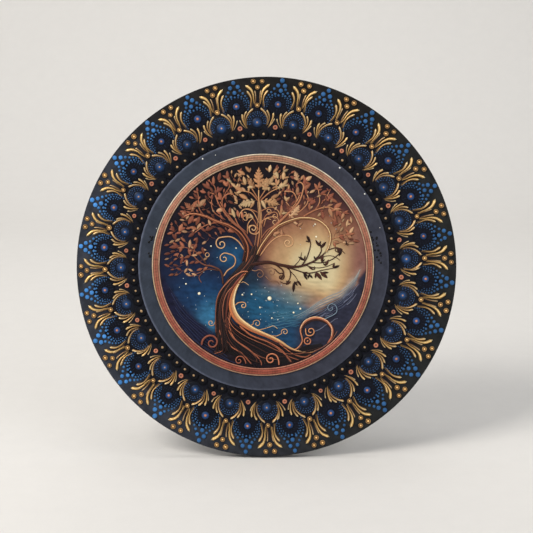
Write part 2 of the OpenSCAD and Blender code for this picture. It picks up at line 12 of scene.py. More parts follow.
import bmesh
import bpy
import numpy as np
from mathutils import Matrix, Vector


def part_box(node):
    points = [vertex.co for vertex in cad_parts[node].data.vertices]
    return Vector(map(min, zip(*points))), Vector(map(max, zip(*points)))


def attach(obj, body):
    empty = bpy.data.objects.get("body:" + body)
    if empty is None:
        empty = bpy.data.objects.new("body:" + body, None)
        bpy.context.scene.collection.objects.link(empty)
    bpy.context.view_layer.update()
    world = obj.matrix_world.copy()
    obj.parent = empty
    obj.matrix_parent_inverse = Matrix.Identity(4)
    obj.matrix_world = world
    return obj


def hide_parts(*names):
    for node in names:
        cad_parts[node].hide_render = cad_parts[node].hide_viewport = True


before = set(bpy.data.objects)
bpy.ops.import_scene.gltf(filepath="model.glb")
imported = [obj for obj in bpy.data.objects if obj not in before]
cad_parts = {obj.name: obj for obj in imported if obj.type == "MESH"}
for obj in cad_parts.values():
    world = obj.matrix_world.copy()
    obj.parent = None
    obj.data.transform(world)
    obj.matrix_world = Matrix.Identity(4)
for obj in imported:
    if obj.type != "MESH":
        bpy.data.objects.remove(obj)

Array = np.ndarray
Colour = tuple[int, int, int]
Stops = list[tuple[float, Colour]]
BoughRow = tuple[list[tuple[float, ...]], float, float]  # points, first half width, last half width

log = logging.getLogger("plaque")
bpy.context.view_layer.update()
MM = 0.001
LEAN = math.radians(12)  # how far the disc leans back from upright
TINT = "tint"  # the attribute that carries each point's colour and crest
MEDALLION = (-2.8, 1.3, 0.8)  # the picture's middle and how high its face stands
ROW_CENTRE = (-2.3, 1.3)  # the middle of the slate band and of the rows of dots nearest it
DOT_LIMIT = 149.3  # how far out a dot may reach on the 150 mm disc
GREY = (0.5, 0.5, 0.5, 1.0)  # what a group's colour is until a material gives it one


# ---------------------------------------------------------------- numbers and colours


def linear(colour: Colour | Array) -> Array:
    """Turns a display colour of 0 to 255 into linear light of 0 to 1.

    Args:
        colour: one colour, or an array of them in its last axis.

    Returns:
        The same shape, by the sRGB curve: a straight toe, then a power of 2.4.
    """
    c = np.asarray(colour, float) / 255.0
    return np.where(c <= 0.04045, c / 12.92, ((c + 0.055) / 1.055) ** 2.4)


def rgba(colour: Colour) -> tuple[float, float, float, float]:
    """A display colour as the four linear numbers of a shader socket."""
    r, g, b = linear(colour)
    return float(r), float(g), float(b), 1.0


def heading(turn: float) -> tuple[float, float]:
    """The cosine and sine of a direction in degrees."""
    return math.cos(math.radians(turn)), math.sin(math.radians(turn))


def unit_circle(angle: Array) -> Array:
    """The point of a circle of radius 1 at each angle in radians."""
    return np.stack([np.cos(angle), np.sin(angle)], axis=-1)


def rows_of(*columns: Array) -> Array:
    """Joins arrays along their last axis and lists the result as rows."""
    whole = np.concatenate(columns, axis=-1)
    return whole.reshape(-1, whole.shape[-1])


def full_tint(colour: Array) -> Array:
    """Colours held between 0 and 1, each with a crest of 1."""
    return np.concatenate([np.clip(colour, 0, 1), np.ones((len(colour), 1))], axis=-1)


def ease(low: float, high: float, x: Array) -> Array:
    """Rises smoothly from 0 at low to 1 at high, as 3t squared minus 2t cubed."""
    t = np.clip((np.asarray(x, float) - low) / (high - low), 0, 1)
    return t * t * (3 - 2 * t)


def mix(a: Array, b: Array, share: Array) -> Array:
    """Blends a towards b by a share given for each point."""
    share = np.asarray(share, float)[..., None]
    return a * (1 - share) + b * share


def ramp(stops: Stops, x: Array) -> Array:
    """Reads a colour ramp.

    Args:
        stops: (place, display colour) pairs in rising order.
        x: the places to read.

    Returns:
        One linear colour for each place.
    """
    places = [s[0] for s in stops]
    colours = linear(np.array([s[1] for s in stops]))
    return np.stack([np.interp(x, places, colours[:, k]) for k in range(3)], axis=-1)


def ripples(x: Array, y: Array, size: float, seed: int, waves: int = 14) -> Array:
    """A smooth random field near -1 to 1: a sum of sine waves in random directions, about size millimetres long."""
    rng = np.random.default_rng(seed)
    angle = rng.uniform(0, 2 * math.pi, waves)
    rate = 2 * math.pi / (size * rng.uniform(0.6, 1.8, waves))
    phase = rng.uniform(0, 2 * math.pi, waves)
    run = x[..., None] * np.cos(angle) + y[..., None] * np.sin(angle)
    return np.sin(run * rate + phase).sum(-1) / math.sqrt(waves)


def smooth_path(points: Array, count: int) -> Array:
    """A Catmull-Rom curve through the points.

    Args:
        points: (k, d) points, each with as many numbers as are to be smoothed.
        count: how many places to read, evenly spaced from the first point to the last.

    Returns:
        (count, d) points on the curve.
    """
    p = np.asarray(points, float)
    last = len(p) - 1
    t = np.linspace(0, last, count)
    i = np.minimum(t.astype(int), last - 1)
    f = (t - i)[:, None]
    a, b = p[np.maximum(i - 1, 0)], p[i]
    c, d = p[i + 1], p[np.minimum(i + 2, last)]
    return 0.5 * (2 * b + (c - a) * f + (2 * a - 5 * b + 4 * c - d) * f**2 + (3 * b - a - 3 * c + d) * f**3)


def normals(line: Array) -> Array:
    """Unit vectors square to a path at each of its points, to the left of its run."""
    along = np.gradient(line[:, :2], axis=0)
    length = np.linalg.norm(along, axis=1, keepdims=True)
    return np.stack([-along[:, 1], along[:, 0]], axis=-1) / np.maximum(length, 1e-9)


# ---------------------------------------------------------------- surfaces


@dataclass
class Surface:
    """Points, faces and a tint for each point. The tint's fourth number is the crest: 0 at a foot, 1 on top; the relief
    finishes turn it into painted shade and painted highlight.
    """

    points: Array
    faces: list[Array]
    tint: Array

    @staticmethod
    def joined(parts: list["Surface"]) -> "Surface":
        """One surface out of several, with each one's faces counted on from the last."""
        starts = np.cumsum([0] + [len(p.points) for p in parts])
        return Surface(
            np.concatenate([p.points for p in parts]),
            [f + s for p, s in zip(parts, starts) for f in p.faces],
            np.concatenate([p.tint for p in parts]),
        )

    def mirrored(self) -> "Surface":
        """The same surface with left and right swapped, and its faces turned to point outwards again."""
        return Surface(self.points * [-1, 1, 1], [f[:, ::-1] for f in self.faces], self.tint)

    def repeated(self, places: Array) -> "Surface":
        """Copies of the surface, one for each (m, 3) set of points in places."""
        n, m = places.shape[:2]
        return Surface(places.reshape(-1, 3), copied_faces(self.faces, m, n), np.tile(self.tint, (n, 1)))

    def shifted(self, offset: tuple[float, float, float]) -> "Surface":
        """The same surface, moved."""
        return Surface(self.points + np.asarray(offset), self.faces, self.tint)


def mesh_object(name: str, points: Array, faces: list[Array], tint: Array | None = None) -> bpy.types.Object:
    """Puts arrays into a smooth-shaded mesh object at the origin.

    Args:
        name: the object's name.
        points: (n, 3) places in metres.
        faces: arrays of corner numbers, each with one row per face.
        tint: (n, 4) linear colour and crest for each point.

    Returns:
        The object, linked to the scene.
    """
    mesh = bpy.data.meshes.new(name)
    corners = np.concatenate([f.ravel() for f in faces]).astype(np.int32)
    sizes = np.concatenate([np.full(len(f), f.shape[1]) for f in faces]).astype(np.int32)
    mesh.vertices.add(len(points))
    mesh.vertices.foreach_set("co", np.asarray(points, np.float32).ravel())
    mesh.loops.add(len(corners))
    mesh.loops.foreach_set("vertex_index", corners)
    mesh.polygons.add(len(sizes))
    mesh.polygons.foreach_set("loop_start", (np.cumsum(sizes) - sizes).astype(np.int32))
    mesh.polygons.foreach_set("loop_total", sizes)
    mesh.polygons.foreach_set("use_smooth", np.ones(len(sizes), bool))
    mesh.update(calc_edges=True)
    if tint is not None:
        layer = mesh.attributes.new(TINT, "FLOAT_COLOR", "POINT")
        layer.data.foreach_set("color", np.asarray(tint, np.float32).ravel())
    mesh.validate()
    made = bpy.data.objects.new(name, mesh)
    bpy.context.scene.collection.objects.link(made)
    return made


def weld_points(piece: bpy.types.Object) -> None:
    """Merges points that coincide, which closes the poles and seams of turned surfaces."""
    work = bmesh.new()
    work.from_mesh(piece.data)
    bmesh.ops.remove_doubles(work, verts=work.verts, dist=2e-6)
    work.to_mesh(piece.data)
    work.free()


@dataclass(frozen=True)
class FaceFrame:
    """Where the plaque's face is: its origin in metres and its lean from upright in radians."""

    origin: tuple[float, float, float]
    lean: float

    def place(self, points: Array) -> Array:
        """Takes face points in millimetres to metres: x along +X, y up the leaning face, z along its normal."""
        s, c = math.sin(self.lean), math.cos(self.lean)
        axes = np.array([[1, 0, 0], [0, s, c], [0, -c, s]])
        return np.asarray(self.origin) + (np.asarray(points, float) @ axes) * MM


def copied_faces(faces: list[Array], each: int, count: int) -> list[Array]:
    """The faces of count copies of a shape of each points, with every copy's corners counted on from the last."""
    start = (np.arange(count) * each)[:, None, None]
    return [(f[None] + start).reshape(-1, f.shape[1]) for f in faces]


def grid_faces(rows: int, cols: int, wrap: bool = False) -> Array:
    """Corner numbers of a grid's four-sided faces, closed round its columns if wrap is set."""
    i = np.arange(rows - 1)[:, None]
    j = np.arange(cols if wrap else cols - 1)[None, :]
    k = (j + 1) % cols
    quads = np.stack([i * cols + j, (i + 1) * cols + j, (i + 1) * cols + k, i * cols + k], axis=-1)
    return quads.reshape(-1, 4)


def closed_strip(rows: int, cols: int) -> list[Array]:
    """Faces of a strip that is closed underneath and at its two ends."""
    first = np.arange(cols)[None, :]
    return [grid_faces(rows, cols, wrap=True), first, (first + (rows - 1) * cols)[:, ::-1]]


def lathe(profile: Array, turns: int, centre: Array = (0.0, 0.0)) -> tuple[Array, list[Array]]:
    """Turns a profile of (radius, height) rows once round the face's normal.

    Args:
        profile: (k, 2) rows, from the outside of the face inwards and so with faces outwards.
        turns: how many places round the axis.
        centre: where the axis meets the face.

    Returns:
        The (k * turns, 3) points in profile order, and the faces.
    """
    p = np.asarray(profile, float)
    ring = unit_circle(np.linspace(0, 2 * math.pi, turns, endpoint=False))
    xy = p[:, None, 0:1] * ring[None] + np.asarray(centre)
    z = np.repeat(p[:, 1:2], turns, axis=1)[..., None]
    return rows_of(xy, z), [grid_faces(len(p), turns, wrap=True)[:, ::-1]]


class DropShape(Enum):
    """Profiles of a laid drop, as rows of (share of radius, share of height, tint factor) from its centre out. The tint
    factor paints a highlight on a drop's top, brightest in the middle of DISH, and shade towards its foot and in the
    hollows of DISH and RING.
    """

    WASH = ((0.0, 1.0, 1.0), (0.72, 1.0, 1.0), (0.92, 0.6, 0.85), (1.0, 0.0, 0.5))
    GLOW = ((0.0, 1.0, 1.5), (0.55, 0.98, 1.25), (0.8, 0.8, 0.8), (1.0, 0.0, 0.35))
    BEAD = ((0.0, 1.0, 1.12), (0.45, 0.9, 1.06), (0.8, 0.6, 0.95), (1.0, 0.0, 0.7))
    BUTTON = ((0.0, 1.0, 1.0), (0.6, 0.98, 1.0), (0.88, 0.72, 1.05), (1.0, 0.0, 0.75))
    DISH = ((0.0, 1.0, 4.2), (0.28, 0.9, 3.2), (0.46, 0.5, 0.45), (0.66, 0.75, 0.8), (0.85, 1.0, 1.7),
            (1.0, 0.0, 0.5))
    RING = ((0.0, 0.4, 0.5), (0.24, 0.34, 0.5), (0.44, 0.72, 0.95), (0.7, 1.0, 1.2), (0.92, 0.66, 0.95),
            (1.0, 0.0, 0.6))


def drops(
    shape: DropShape, centres: Array, radius: Array, height: Array, tint: Array, base: float = 0.0, sides: int = 12
) -> Surface:
    """Lays one turned drop at each centre, all as one surface.

    Args:
        shape: the drop's profile.
        centres: (n, 2) places on the face.
        radius: one radius for each drop, or one for all.
        height: one height for each drop, or one for all.
        tint: (n, 3) linear colours, or one for all.
        base: how far above the face the drops sit.
        sides: how many sides a drop has.

    Returns:
        The drops: each point is its centre plus the profile's radius share times a unit circle.
    """
    centres = np.asarray(centres, float)
    n = len(centres)
    rows = np.array(shape.value)
    ring = unit_circle(np.linspace(0, 2 * math.pi, sides, endpoint=False))
    flat = np.concatenate([np.zeros((1, 2)), (rows[1:, None, 0:1] * ring[None]).reshape(-1, 2)])
    rise = np.concatenate([rows[:1, 1], np.repeat(rows[1:, 1], sides)])
    shade = np.concatenate([rows[:1, 2], np.repeat(rows[1:, 2], sides)])
    radius = np.broadcast_to(np.asarray(radius, float), (n,))
    height = np.broadcast_to(np.asarray(height, float), (n,))
    xy = centres[:, None, :] + radius[:, None, None] * flat[None]
    z = base + height[:, None] * rise[None] - 0.06 * (rise[None] <= 0)
    # painted highlight and painted shade: each ring of the drop takes its profile's tint factor
    colour = np.broadcast_to(np.asarray(tint, float).reshape(-1, 1, 3), (n, 1, 3)) * shade[None, :, None]
    crest = np.broadcast_to(rise[None, :, None], (n, len(rise), 1))
    j = np.arange(sides)
    k = (j + 1) % sides
    fan = np.stack([np.zeros_like(j), 1 + j, 1 + k], axis=-1)
    quads = 1 + grid_faces(len(rows) - 1, sides, wrap=True)
    under = 1 + (len(rows) - 2) * sides + j[None, ::-1]
    faces = copied_faces([fan, quads, under], len(flat), n)
    return Surface(rows_of(xy, z[..., None]), faces, rows_of(np.clip(colour, 0, 1), crest))


@dataclass
class Strand:
    """A laid strip of clay or paint: a path of (x, y, half width), its height, and its tints."""

    path: list[tuple[float, ...]]
    height: float = 0.8
    start: Colour = (120, 70, 50)
    end: Colour = (190, 130, 90)
    left: Colour | None = None
    steps: int = 0
    across: int = 7
    base: float = 0.0

    def surface(self) -> Surface:
        """Carries a half-round section along the smoothed path.

        Returns:
            The strip: a point is the path plus its normal times u times the half width, and its height is the
            strip's height times the root of 1 minus u squared. Both shrink round the two ends.
        """
        count = self.steps or max(8, 5 * len(self.path))
        line = smooth_path(self.path, count)
        run = np.concatenate([[0], np.cumsum(np.linalg.norm(np.diff(line[:, :2], axis=0), axis=1))])
        half = np.maximum(line[:, 2], 0.1)
        head = np.sqrt(1 - (1 - np.clip((run + 0.04) / half[0], 0, 1)) ** 2)
        tail = np.sqrt(1 - (1 - np.clip((run[-1] - run + 0.04) / half[-1], 0, 1)) ** 2)
        close = head * tail
        u = np.sin(np.linspace(-math.pi / 2, math.pi / 2, self.across))
        dome = np.sqrt(np.clip(1 - u**2, 0, 1))
        xy = line[:, None, :2] + normals(line)[:, None] * (u[None, :, None] * (half * close)[:, None, None])
        rise = np.minimum(self.height, 1.1 * half) * close
        z = self.base + rise[:, None] * dome[None] - 0.08 * (dome[None] < 0.01)
        share = np.linspace(0, 1, count)
        body = mix(linear(self.start)[None], linear(self.end)[None], share)[:, None, :]
        side = linear(self.left) if self.left else body
        colour = mix(np.broadcast_to(body, (count, self.across, 3)), np.broadcast_to(side, (count, self.across, 3)),
                     np.broadcast_to(ease(-0.6, 0.9, u)[None], (count, self.across)))
        crest = np.broadcast_to(dome[None, :, None], (count, self.across, 1))
        return Surface(rows_of(xy, z[..., None]), closed_strip(count, self.across), rows_of(colour, crest))


def tapered(points: list[tuple[float, float]], first: float, last: float) -> list[tuple[float, ...]]:
    """Adds to each point a half width that runs evenly from first to last."""
    n = len(points) - 1
    return [(x, y, first + (last - first) * i / n) for i, (x, y) in enumerate(points)]


def leaf_surface(x: float, y: float, turn: float, long: float, wide: float, colour: Array) -> Surface:
    """One relief leaf with a creased midrib.

    Args:
        x, y: the stalk end, in the picture's millimetres.
        turn: the direction it points, in degrees from +x.
        long: length from stalk to tip.
        wide: half width at its middle.
        colour: linear colour.

    Returns:
        A grid along the leaf (s) and across it (u): its half width follows the sine of pi times s to the power
        0.8, and its height falls to the edge and dips along the midrib.
    """
    along, across = 8, 5
    s = np.linspace(0, 1, along)[:, None]
    u = np.linspace(-1, 1, across)[None, :]
    edge = np.sin(math.pi * s**0.8) ** 0.85
    lx = s * long + 0.16 * long * np.abs(u) * np.sin(math.pi * s) * 0.4
    ly = u * (wide * edge + 0.06)
    lz = 0.12 + 0.75 * edge * (1 - np.abs(u) ** 2.2) - 0.3 * edge * np.exp(-((u / 0.16) ** 2))
    lz = np.where(np.abs(u) > 0.99, -0.08, lz)
    c, d = heading(turn)
    points = np.stack([x + lx * c - ly * d, y + lx * d + ly * c, lz], axis=-1).reshape(-1, 3)
    # painted light: the leaf is lighter down its middle and on one side near its stalk, darker at its edges, and darker
    # along its midrib crease as painted shade
    lift = 0.62 + 0.55 * (1 - np.abs(u)) + 0.25 * (u > 0) * (1 - s)
    crease_shade = 1 - 0.45 * np.exp(-((u / 0.18) ** 2)) * (s < 0.86)
    tint = np.clip(np.asarray(colour)[None, None] * (lift * crease_shade)[..., None], 0, 1)
    crest = np.broadcast_to((1 - np.abs(u))[..., None], (along, across, 1))
    return Surface(points, closed_strip(along, across), rows_of(tint, crest))


def lobed_leaf(x: float, y: float, turn: float, long: float, wide: float, colour: Array) -> list[Surface]:
    """A lobed leaf as a blade and pairs of leaflets, which shorten towards the tip with dark gaps between them."""
    c, d = heading(turn)
    parts = [leaf_surface(x, y, turn, long, wide * 0.42, colour)]
    for k, share in enumerate((0.12, 0.3, 0.46, 0.6, 0.74)):
        reach = wide * (0.95, 1.35, 1.3, 1.0, 0.7)[k]
        for side in (1, -1):
            place = (x + long * share * c, y + long * share * d)
            tilt = turn + side * (62, 52, 44, 38, 30)[k]
            # painted light: the leaflets on one side are lighter and those on the other side darker
            parts.append(leaf_surface(*place, tilt, reach, reach * 0.3, colour * (1.08 if side > 0 else 0.86)))
    return parts


# ---------------------------------------------------------------- finishes


@dataclass
class NodeGroups:
    """The shader node groups that several finishes share. Each is made once, on first use."""

    made: dict[str, bpy.types.NodeTree] = field(default_factory=dict)

    def start(self, name: str, inputs: dict[str, object], outputs: tuple[str, ...]) -> tuple:
        """Starts a group.

        Args:
            name: the group's name.
            inputs: socket name to default, which is a number or a colour.
            outputs: socket names. The one named Colour is a colour, and the others are numbers.

        Returns:
            The tree, its input node and its output node.
        """
        tree = bpy.data.node_groups.new(name, "ShaderNodeTree")
        for label, default in inputs.items():
            kind = "NodeSocketFloat" if isinstance(default, float) else "NodeSocketColor"
            tree.interface.new_socket(label, in_out="INPUT", socket_type=kind).default_value = default
        for label in outputs:
            kind = "NodeSocketColor" if label == "Colour" else "NodeSocketFloat"
            tree.interface.new_socket(label, in_out="OUTPUT", socket_type=kind)
        self.made[name] = tree
        return tree, tree.nodes.new("NodeGroupInput"), tree.nodes.new("NodeGroupOutput")

    def slip_grain(self) -> bpy.types.NodeTree:
        """Clay slip and matt paint: soft mottling of the colour, and a fine grain in the height."""
        if "slip_grain" in self.made:
            return self.made["slip_grain"]
        tree, given, out = self.start(
            "slip_grain", {"Colour": GREY, "Grain": 2500.0, "Mottle": 0.2, "Cloud": 60.0}, ("Colour", "Height"))
        where = tree.nodes.new("ShaderNodeTexCoord").outputs["Object"]
        fine = noise(tree, where, given.outputs["Grain"], 3.0, 0.6)
        cloud = noise(tree, where, given.outputs["Cloud"], 4.0, 0.6)
        both = maths(tree, "ADD", maths(tree, "MULTIPLY", fine, 0.55), maths(tree, "MULTIPLY", cloud, 0.9))
        spread = maths(tree, "MULTIPLY", maths(tree, "SUBTRACT", both, 0.725), given.outputs["Mottle"])
        shade = maths(tree, "ADD", maths(tree, "MULTIPLY", spread, 3.0), 1.0)
        tree.links.new(scaled(tree, given.outputs["Colour"], shade), out.inputs["Colour"])
        tree.links.new(fine, out.inputs["Height"])
        return tree

    def crest_painted_light(self) -> bpy.types.NodeTree:
        """Painted shade and painted highlight on relief: the colour is darkened at the foot of a raised stroke and
        lightened on its crest.
        """
        if "crest_painted_light" in self.made:
            return self.made["crest_painted_light"]
        tree, given, out = self.start(
            "crest_painted_light", {"Colour": GREY, "Crest": 0.5, "Foot": 0.4, "Top": 1.2}, ("Colour",))
        steep = maths(tree, "POWER", given.outputs["Crest"], 0.8)
        span = maths(tree, "SUBTRACT", given.outputs["Top"], given.outputs["Foot"])
        shade = maths(tree, "ADD", maths(tree, "MULTIPLY", steep, span), given.outputs["Foot"])
        tree.links.new(scaled(tree, given.outputs["Colour"], shade), out.inputs["Colour"])
        return tree

    def rubbed_metal(self) -> bpy.types.NodeTree:
        """Brass and metallic paint: a patchy tarnish in the colour and roughness, with fine scratches."""
        if "rubbed_metal" in self.made:
            return self.made["rubbed_metal"]
        tree, given, out = self.start(
            "rubbed_metal", {"Colour": GREY, "Size": 300.0, "Tarnish": 0.3, "Smooth": 0.25, "Dull": 0.5},
            ("Colour", "Roughness", "Height"))
        where = tree.nodes.new("ShaderNodeTexCoord").outputs["Object"]
        patch = noise(tree, where, given.outputs["Size"], 5.0, 0.65)
        stretch = tree.nodes.new("ShaderNodeMapping")
        stretch.inputs["Scale"].default_value = (1.0, 9.0, 9.0)
        tree.links.new(where, stretch.inputs["Vector"])
        scratch = noise(tree, stretch.outputs["Vector"], maths(tree, "MULTIPLY", given.outputs["Size"], 2.5), 2.0, 0.5)
        loss = maths(tree, "MULTIPLY", maths(tree, "SUBTRACT", patch, 0.35), given.outputs["Tarnish"])
        shade = maths(tree, "SUBTRACT", 1.05, maths(tree, "MULTIPLY", loss, 2.0))
        tree.links.new(scaled(tree, given.outputs["Colour"], shade), out.inputs["Colour"])
        span = maths(tree, "SUBTRACT", given.outputs["Dull"], given.outputs["Smooth"])
        rough = maths(tree, "ADD", given.outputs["Smooth"], maths(tree, "MULTIPLY", patch, span))
        tree.links.new(rough, out.inputs["Roughness"])
        tree.links.new(scratch, out.inputs["Height"])
        return tree

    def board_fibre(self) -> bpy.types.NodeTree:
        """Stained fibreboard: long soft streaks up the board and a speckle of fibres."""
        if "board_fibre" in self.made:
            return self.made["board_fibre"]
        tree, given, out = self.start(
            "board_fibre", {"Dark": GREY, "Light": GREY, "Streak": 90.0}, ("Colour", "Height"))
        where = tree.nodes.new("ShaderNodeTexCoord").outputs["Object"]
        stretch = tree.nodes.new("ShaderNodeMapping")
        stretch.inputs["Scale"].default_value = (4.0, 1.0, 0.35)
        tree.links.new(where, stretch.inputs["Vector"])
        streak = noise(tree, stretch.outputs["Vector"], given.outputs["Streak"], 5.0, 0.6)
        fibre = noise(tree, where, 1800.0, 2.0, 0.5)
        share = maths(tree, "ADD", maths(tree, "MULTIPLY", streak, 0.75), maths(tree, "MULTIPLY", fibre, 0.3))
        blend = tree.nodes.new("ShaderNodeMix")
        blend.data_type = "RGBA"
        tree.links.new(maths(tree, "MULTIPLY_ADD", share, 2.4, -0.75, clamp=True), blend.inputs["Factor"])
        tree.links.new(given.outputs["Dark"], blend.inputs["A"])
        tree.links.new(given.outputs["Light"], blend.inputs["B"])
        tree.links.new(blend.outputs["Result"], out.inputs["Colour"])
        tree.links.new(share, out.inputs["Height"])
        return tree


def maths(tree: bpy.types.NodeTree, operation: str, *values: object, clamp: bool = False) -> bpy.types.NodeSocket:
    """Adds a Math node that takes sockets or numbers, and returns its result."""
    node = tree.nodes.new("ShaderNodeMath")
    node.operation = operation
    node.use_clamp = clamp
    for slot, value in zip(node.inputs, values):
        feed(tree, value, slot)
    return node.outputs[0]


def feed(tree: bpy.types.NodeTree, value: object, slot: bpy.types.NodeSocket) -> None:
    """Links a socket to slot, or sets slot to a plain number."""
    if isinstance(value, bpy.types.NodeSocket):
        tree.links.new(value, slot)
    else:
        slot.default_value = value


def noise(tree: bpy.types.NodeTree, where: object, scale: object, detail: float, rough: float) -> bpy.types.NodeSocket:
    """Adds a noise texture read at where, and returns its strength."""
    node = tree.nodes.new("ShaderNodeTexNoise")
    tree.links.new(where, node.inputs["Vector"])
    feed(tree, scale, node.inputs["Scale"])
    node.inputs["Detail"].default_value = detail
    node.inputs["Roughness"].default_value = rough
    return node.outputs["Fac"]


def scaled(tree: bpy.types.NodeTree, colour: object, factor: object) -> bpy.types.NodeSocket:
    """Multiplies a colour by a number that changes over the surface."""
    node = tree.nodes.new("ShaderNodeVectorMath")
    node.operation = "SCALE"
    tree.links.new(colour, node.inputs[0])
    feed(tree, factor, node.inputs["Scale"])
    return node.outputs[0]


class Kind(Enum):
    """What a finish is made of, which picks its node groups."""

    SLIP = "slip"
    RELIEF = "relief"
    METAL_PAINT = "metal paint"
    BRASS = "brass"
    BOARD = "board"


@dataclass(frozen=True)
class Finish:
    """One finish. With no colour of its own it takes the piece's tint attribute."""

    name: str
    kind: Kind
    colour: Colour | None = None
    second: Colour = (90, 60, 40)
    rough: float = 0.6
    metal: float = 0.0
    coat: float = 0.0
    gloss: float = 0.4
    grain: float = 2500.0
    mottle: float = 0.15
    # foot and top scale the colour at the foot and on the crest of a raised mark: painted shade and painted highlight
    foot: float = 0.5
    top: float = 1.15
    bump: float = 0.25
    depth: float = 0.0002

    def material(self, groups: NodeGroups) -> bpy.types.Material:
        """Builds the finish's node tree.

        Args:
            groups: the shared node groups.

        Returns:
            A material whose colour, roughness and height come from the groups of its kind.
        """
        made = bpy.data.materials.new(self.name)
        made.use_nodes = True
        tree = made.node_tree
        shader = tree.nodes["Principled BSDF"]
        shader.inputs["Roughness"].default_value = self.rough
        shader.inputs["Metallic"].default_value = self.metal
        shader.inputs["Coat Weight"].default_value = self.coat
        shader.inputs["Coat Roughness"].default_value = 0.25
        shader.inputs["Specular IOR Level"].default_value = self.gloss
        colour, crest = self.sources(tree)
        # relief and metal paint get painted shade at the foot of each raised mark and a painted highlight on its crest
        if self.kind in (Kind.RELIEF, Kind.METAL_PAINT) and crest is not None:
            lit = self.group(tree, groups.crest_painted_light(), {"Foot": self.foot, "Top": self.top})
            tree.links.new(colour, lit.inputs["Colour"])
            tree.links.new(crest, lit.inputs["Crest"])
            colour = lit.outputs["Colour"]
        if self.kind is Kind.BOARD:
            last = self.group(tree, groups.board_fibre(), {})
            last.inputs["Dark"].default_value = rgba(self.colour)
            last.inputs["Light"].default_value = rgba(self.second)
        elif self.kind in (Kind.BRASS, Kind.METAL_PAINT):
            last = self.group(tree, groups.rubbed_metal(), {
                "Size": self.grain * 0.2, "Tarnish": self.mottle, "Smooth": self.rough * 0.7, "Dull": self.rough * 1.4})
            self.colour_in(tree, last, colour)
            tree.links.new(last.outputs["Roughness"], shader.inputs["Roughness"])
        else:
            last = self.group(tree, groups.slip_grain(), {"Grain": self.grain, "Mottle": self.mottle})
            self.colour_in(tree, last, colour)
        tree.links.new(last.outputs["Colour"], shader.inputs["Base Color"])
        lift = tree.nodes.new("ShaderNodeBump")
        lift.inputs["Strength"].default_value = self.bump
        lift.inputs["Distance"].default_value = self.depth
        tree.links.new(last.outputs["Height"], lift.inputs["Height"])
        tree.links.new(lift.outputs["Normal"], shader.inputs["Normal"])
        return made

    def sources(self, tree: bpy.types.NodeTree) -> tuple:
        """The colour and crest sockets of the tint attribute, or nothing where the finish has its own colour."""
        if self.colour is not None:
            return None, None
        node = tree.nodes.new("ShaderNodeAttribute")
        node.attribute_name = TINT
        return node.outputs["Color"], node.outputs["Alpha"]

    def colour_in(self, tree: bpy.types.NodeTree, node: bpy.types.Node, colour: object) -> None:
        """Gives a group its colour: the piece's tint, or the finish's own."""
        if colour is None:
            node.inputs["Colour"].default_value = rgba(self.colour)
        else:
            tree.links.new(colour, node.inputs["Colour"])

    @staticmethod
    def group(tree: bpy.types.NodeTree, source: bpy.types.NodeTree, values: dict[str, float]) -> bpy.types.Node:
        """Places a shared group in a material, with its own values."""
        node = tree.nodes.new("ShaderNodeGroup")
        node.node_tree = source
        for label, value in values.items():
            node.inputs[label].default_value = value
        return node


CLAY_BLACK = Finish("black_clay_slip", Kind.SLIP, rough=0.7, gloss=0.1, grain=1500.0, mottle=0.3, bump=0.5,
                    depth=0.00025)
SLATE = Finish("slate_slip", Kind.SLIP, rough=0.65, gloss=0.12, grain=1700.0, mottle=0.2, bump=0.35, depth=0.0002)
RAISED_PAINT = Finish("raised_paint", Kind.RELIEF, rough=0.42, gloss=0.22, mottle=0.06, foot=0.35, top=1.08)
GOLD_PAINT = Finish("gold_paint", Kind.METAL_PAINT, rough=0.36, metal=0.4, gloss=0.4, mottle=0.22, foot=0.1, top=1.3,
                    grain=2500.0, bump=0.12, depth=0.0001)
COPPER_PAINT = Finish("copper_ring_paint", Kind.METAL_PAINT, rough=0.4, metal=0.3, gloss=0.3, mottle=0.3, foot=0.4,
                      top=1.05, grain=1600.0, bump=0.2, depth=0.00015)
PICTURE_PAINT = Finish("night_sky_paint", Kind.SLIP, rough=0.5, gloss=0.12, grain=1300.0, mottle=0.12, bump=0.3,
                       depth=0.00015)
TREE_CLAY = Finish("tree_relief_clay", Kind.RELIEF, rough=0.46, gloss=0.2, metal=0.05, mottle=0.12, foot=0.2, top=1.15,
                   grain=1800.0, bump=0.2, depth=0.00012)
BRASS = Finish("brushed_brass", Kind.BRASS, colour=(186, 148, 84), rough=0.34, metal=0.95, mottle=0.3, bump=0.15,
               depth=0.00008)
RIVET = Finish("polished_brass", Kind.BRASS, colour=(206, 170, 104), rough=0.22, metal=0.95, mottle=0.2, bump=0.08,
               depth=0.00005)
BOARD = Finish("stained_board", Kind.BOARD, colour=(52, 34, 24), second=(112, 78, 52), rough=0.6, gloss=0.35, bump=0.3,
               depth=0.0002)
STRUT_BOARD = Finish("stained_strut", Kind.BOARD, colour=(66, 44, 28), second=(134, 96, 62), rough=0.58, gloss=0.35,
                     bump=0.3, depth=0.0002)
RUBBER = Finish("foot_rubber", Kind.SLIP, colour=(34, 34, 35), rough=0.8, gloss=0.25, grain=3000.0, mottle=0.2,
                bump=0.4)


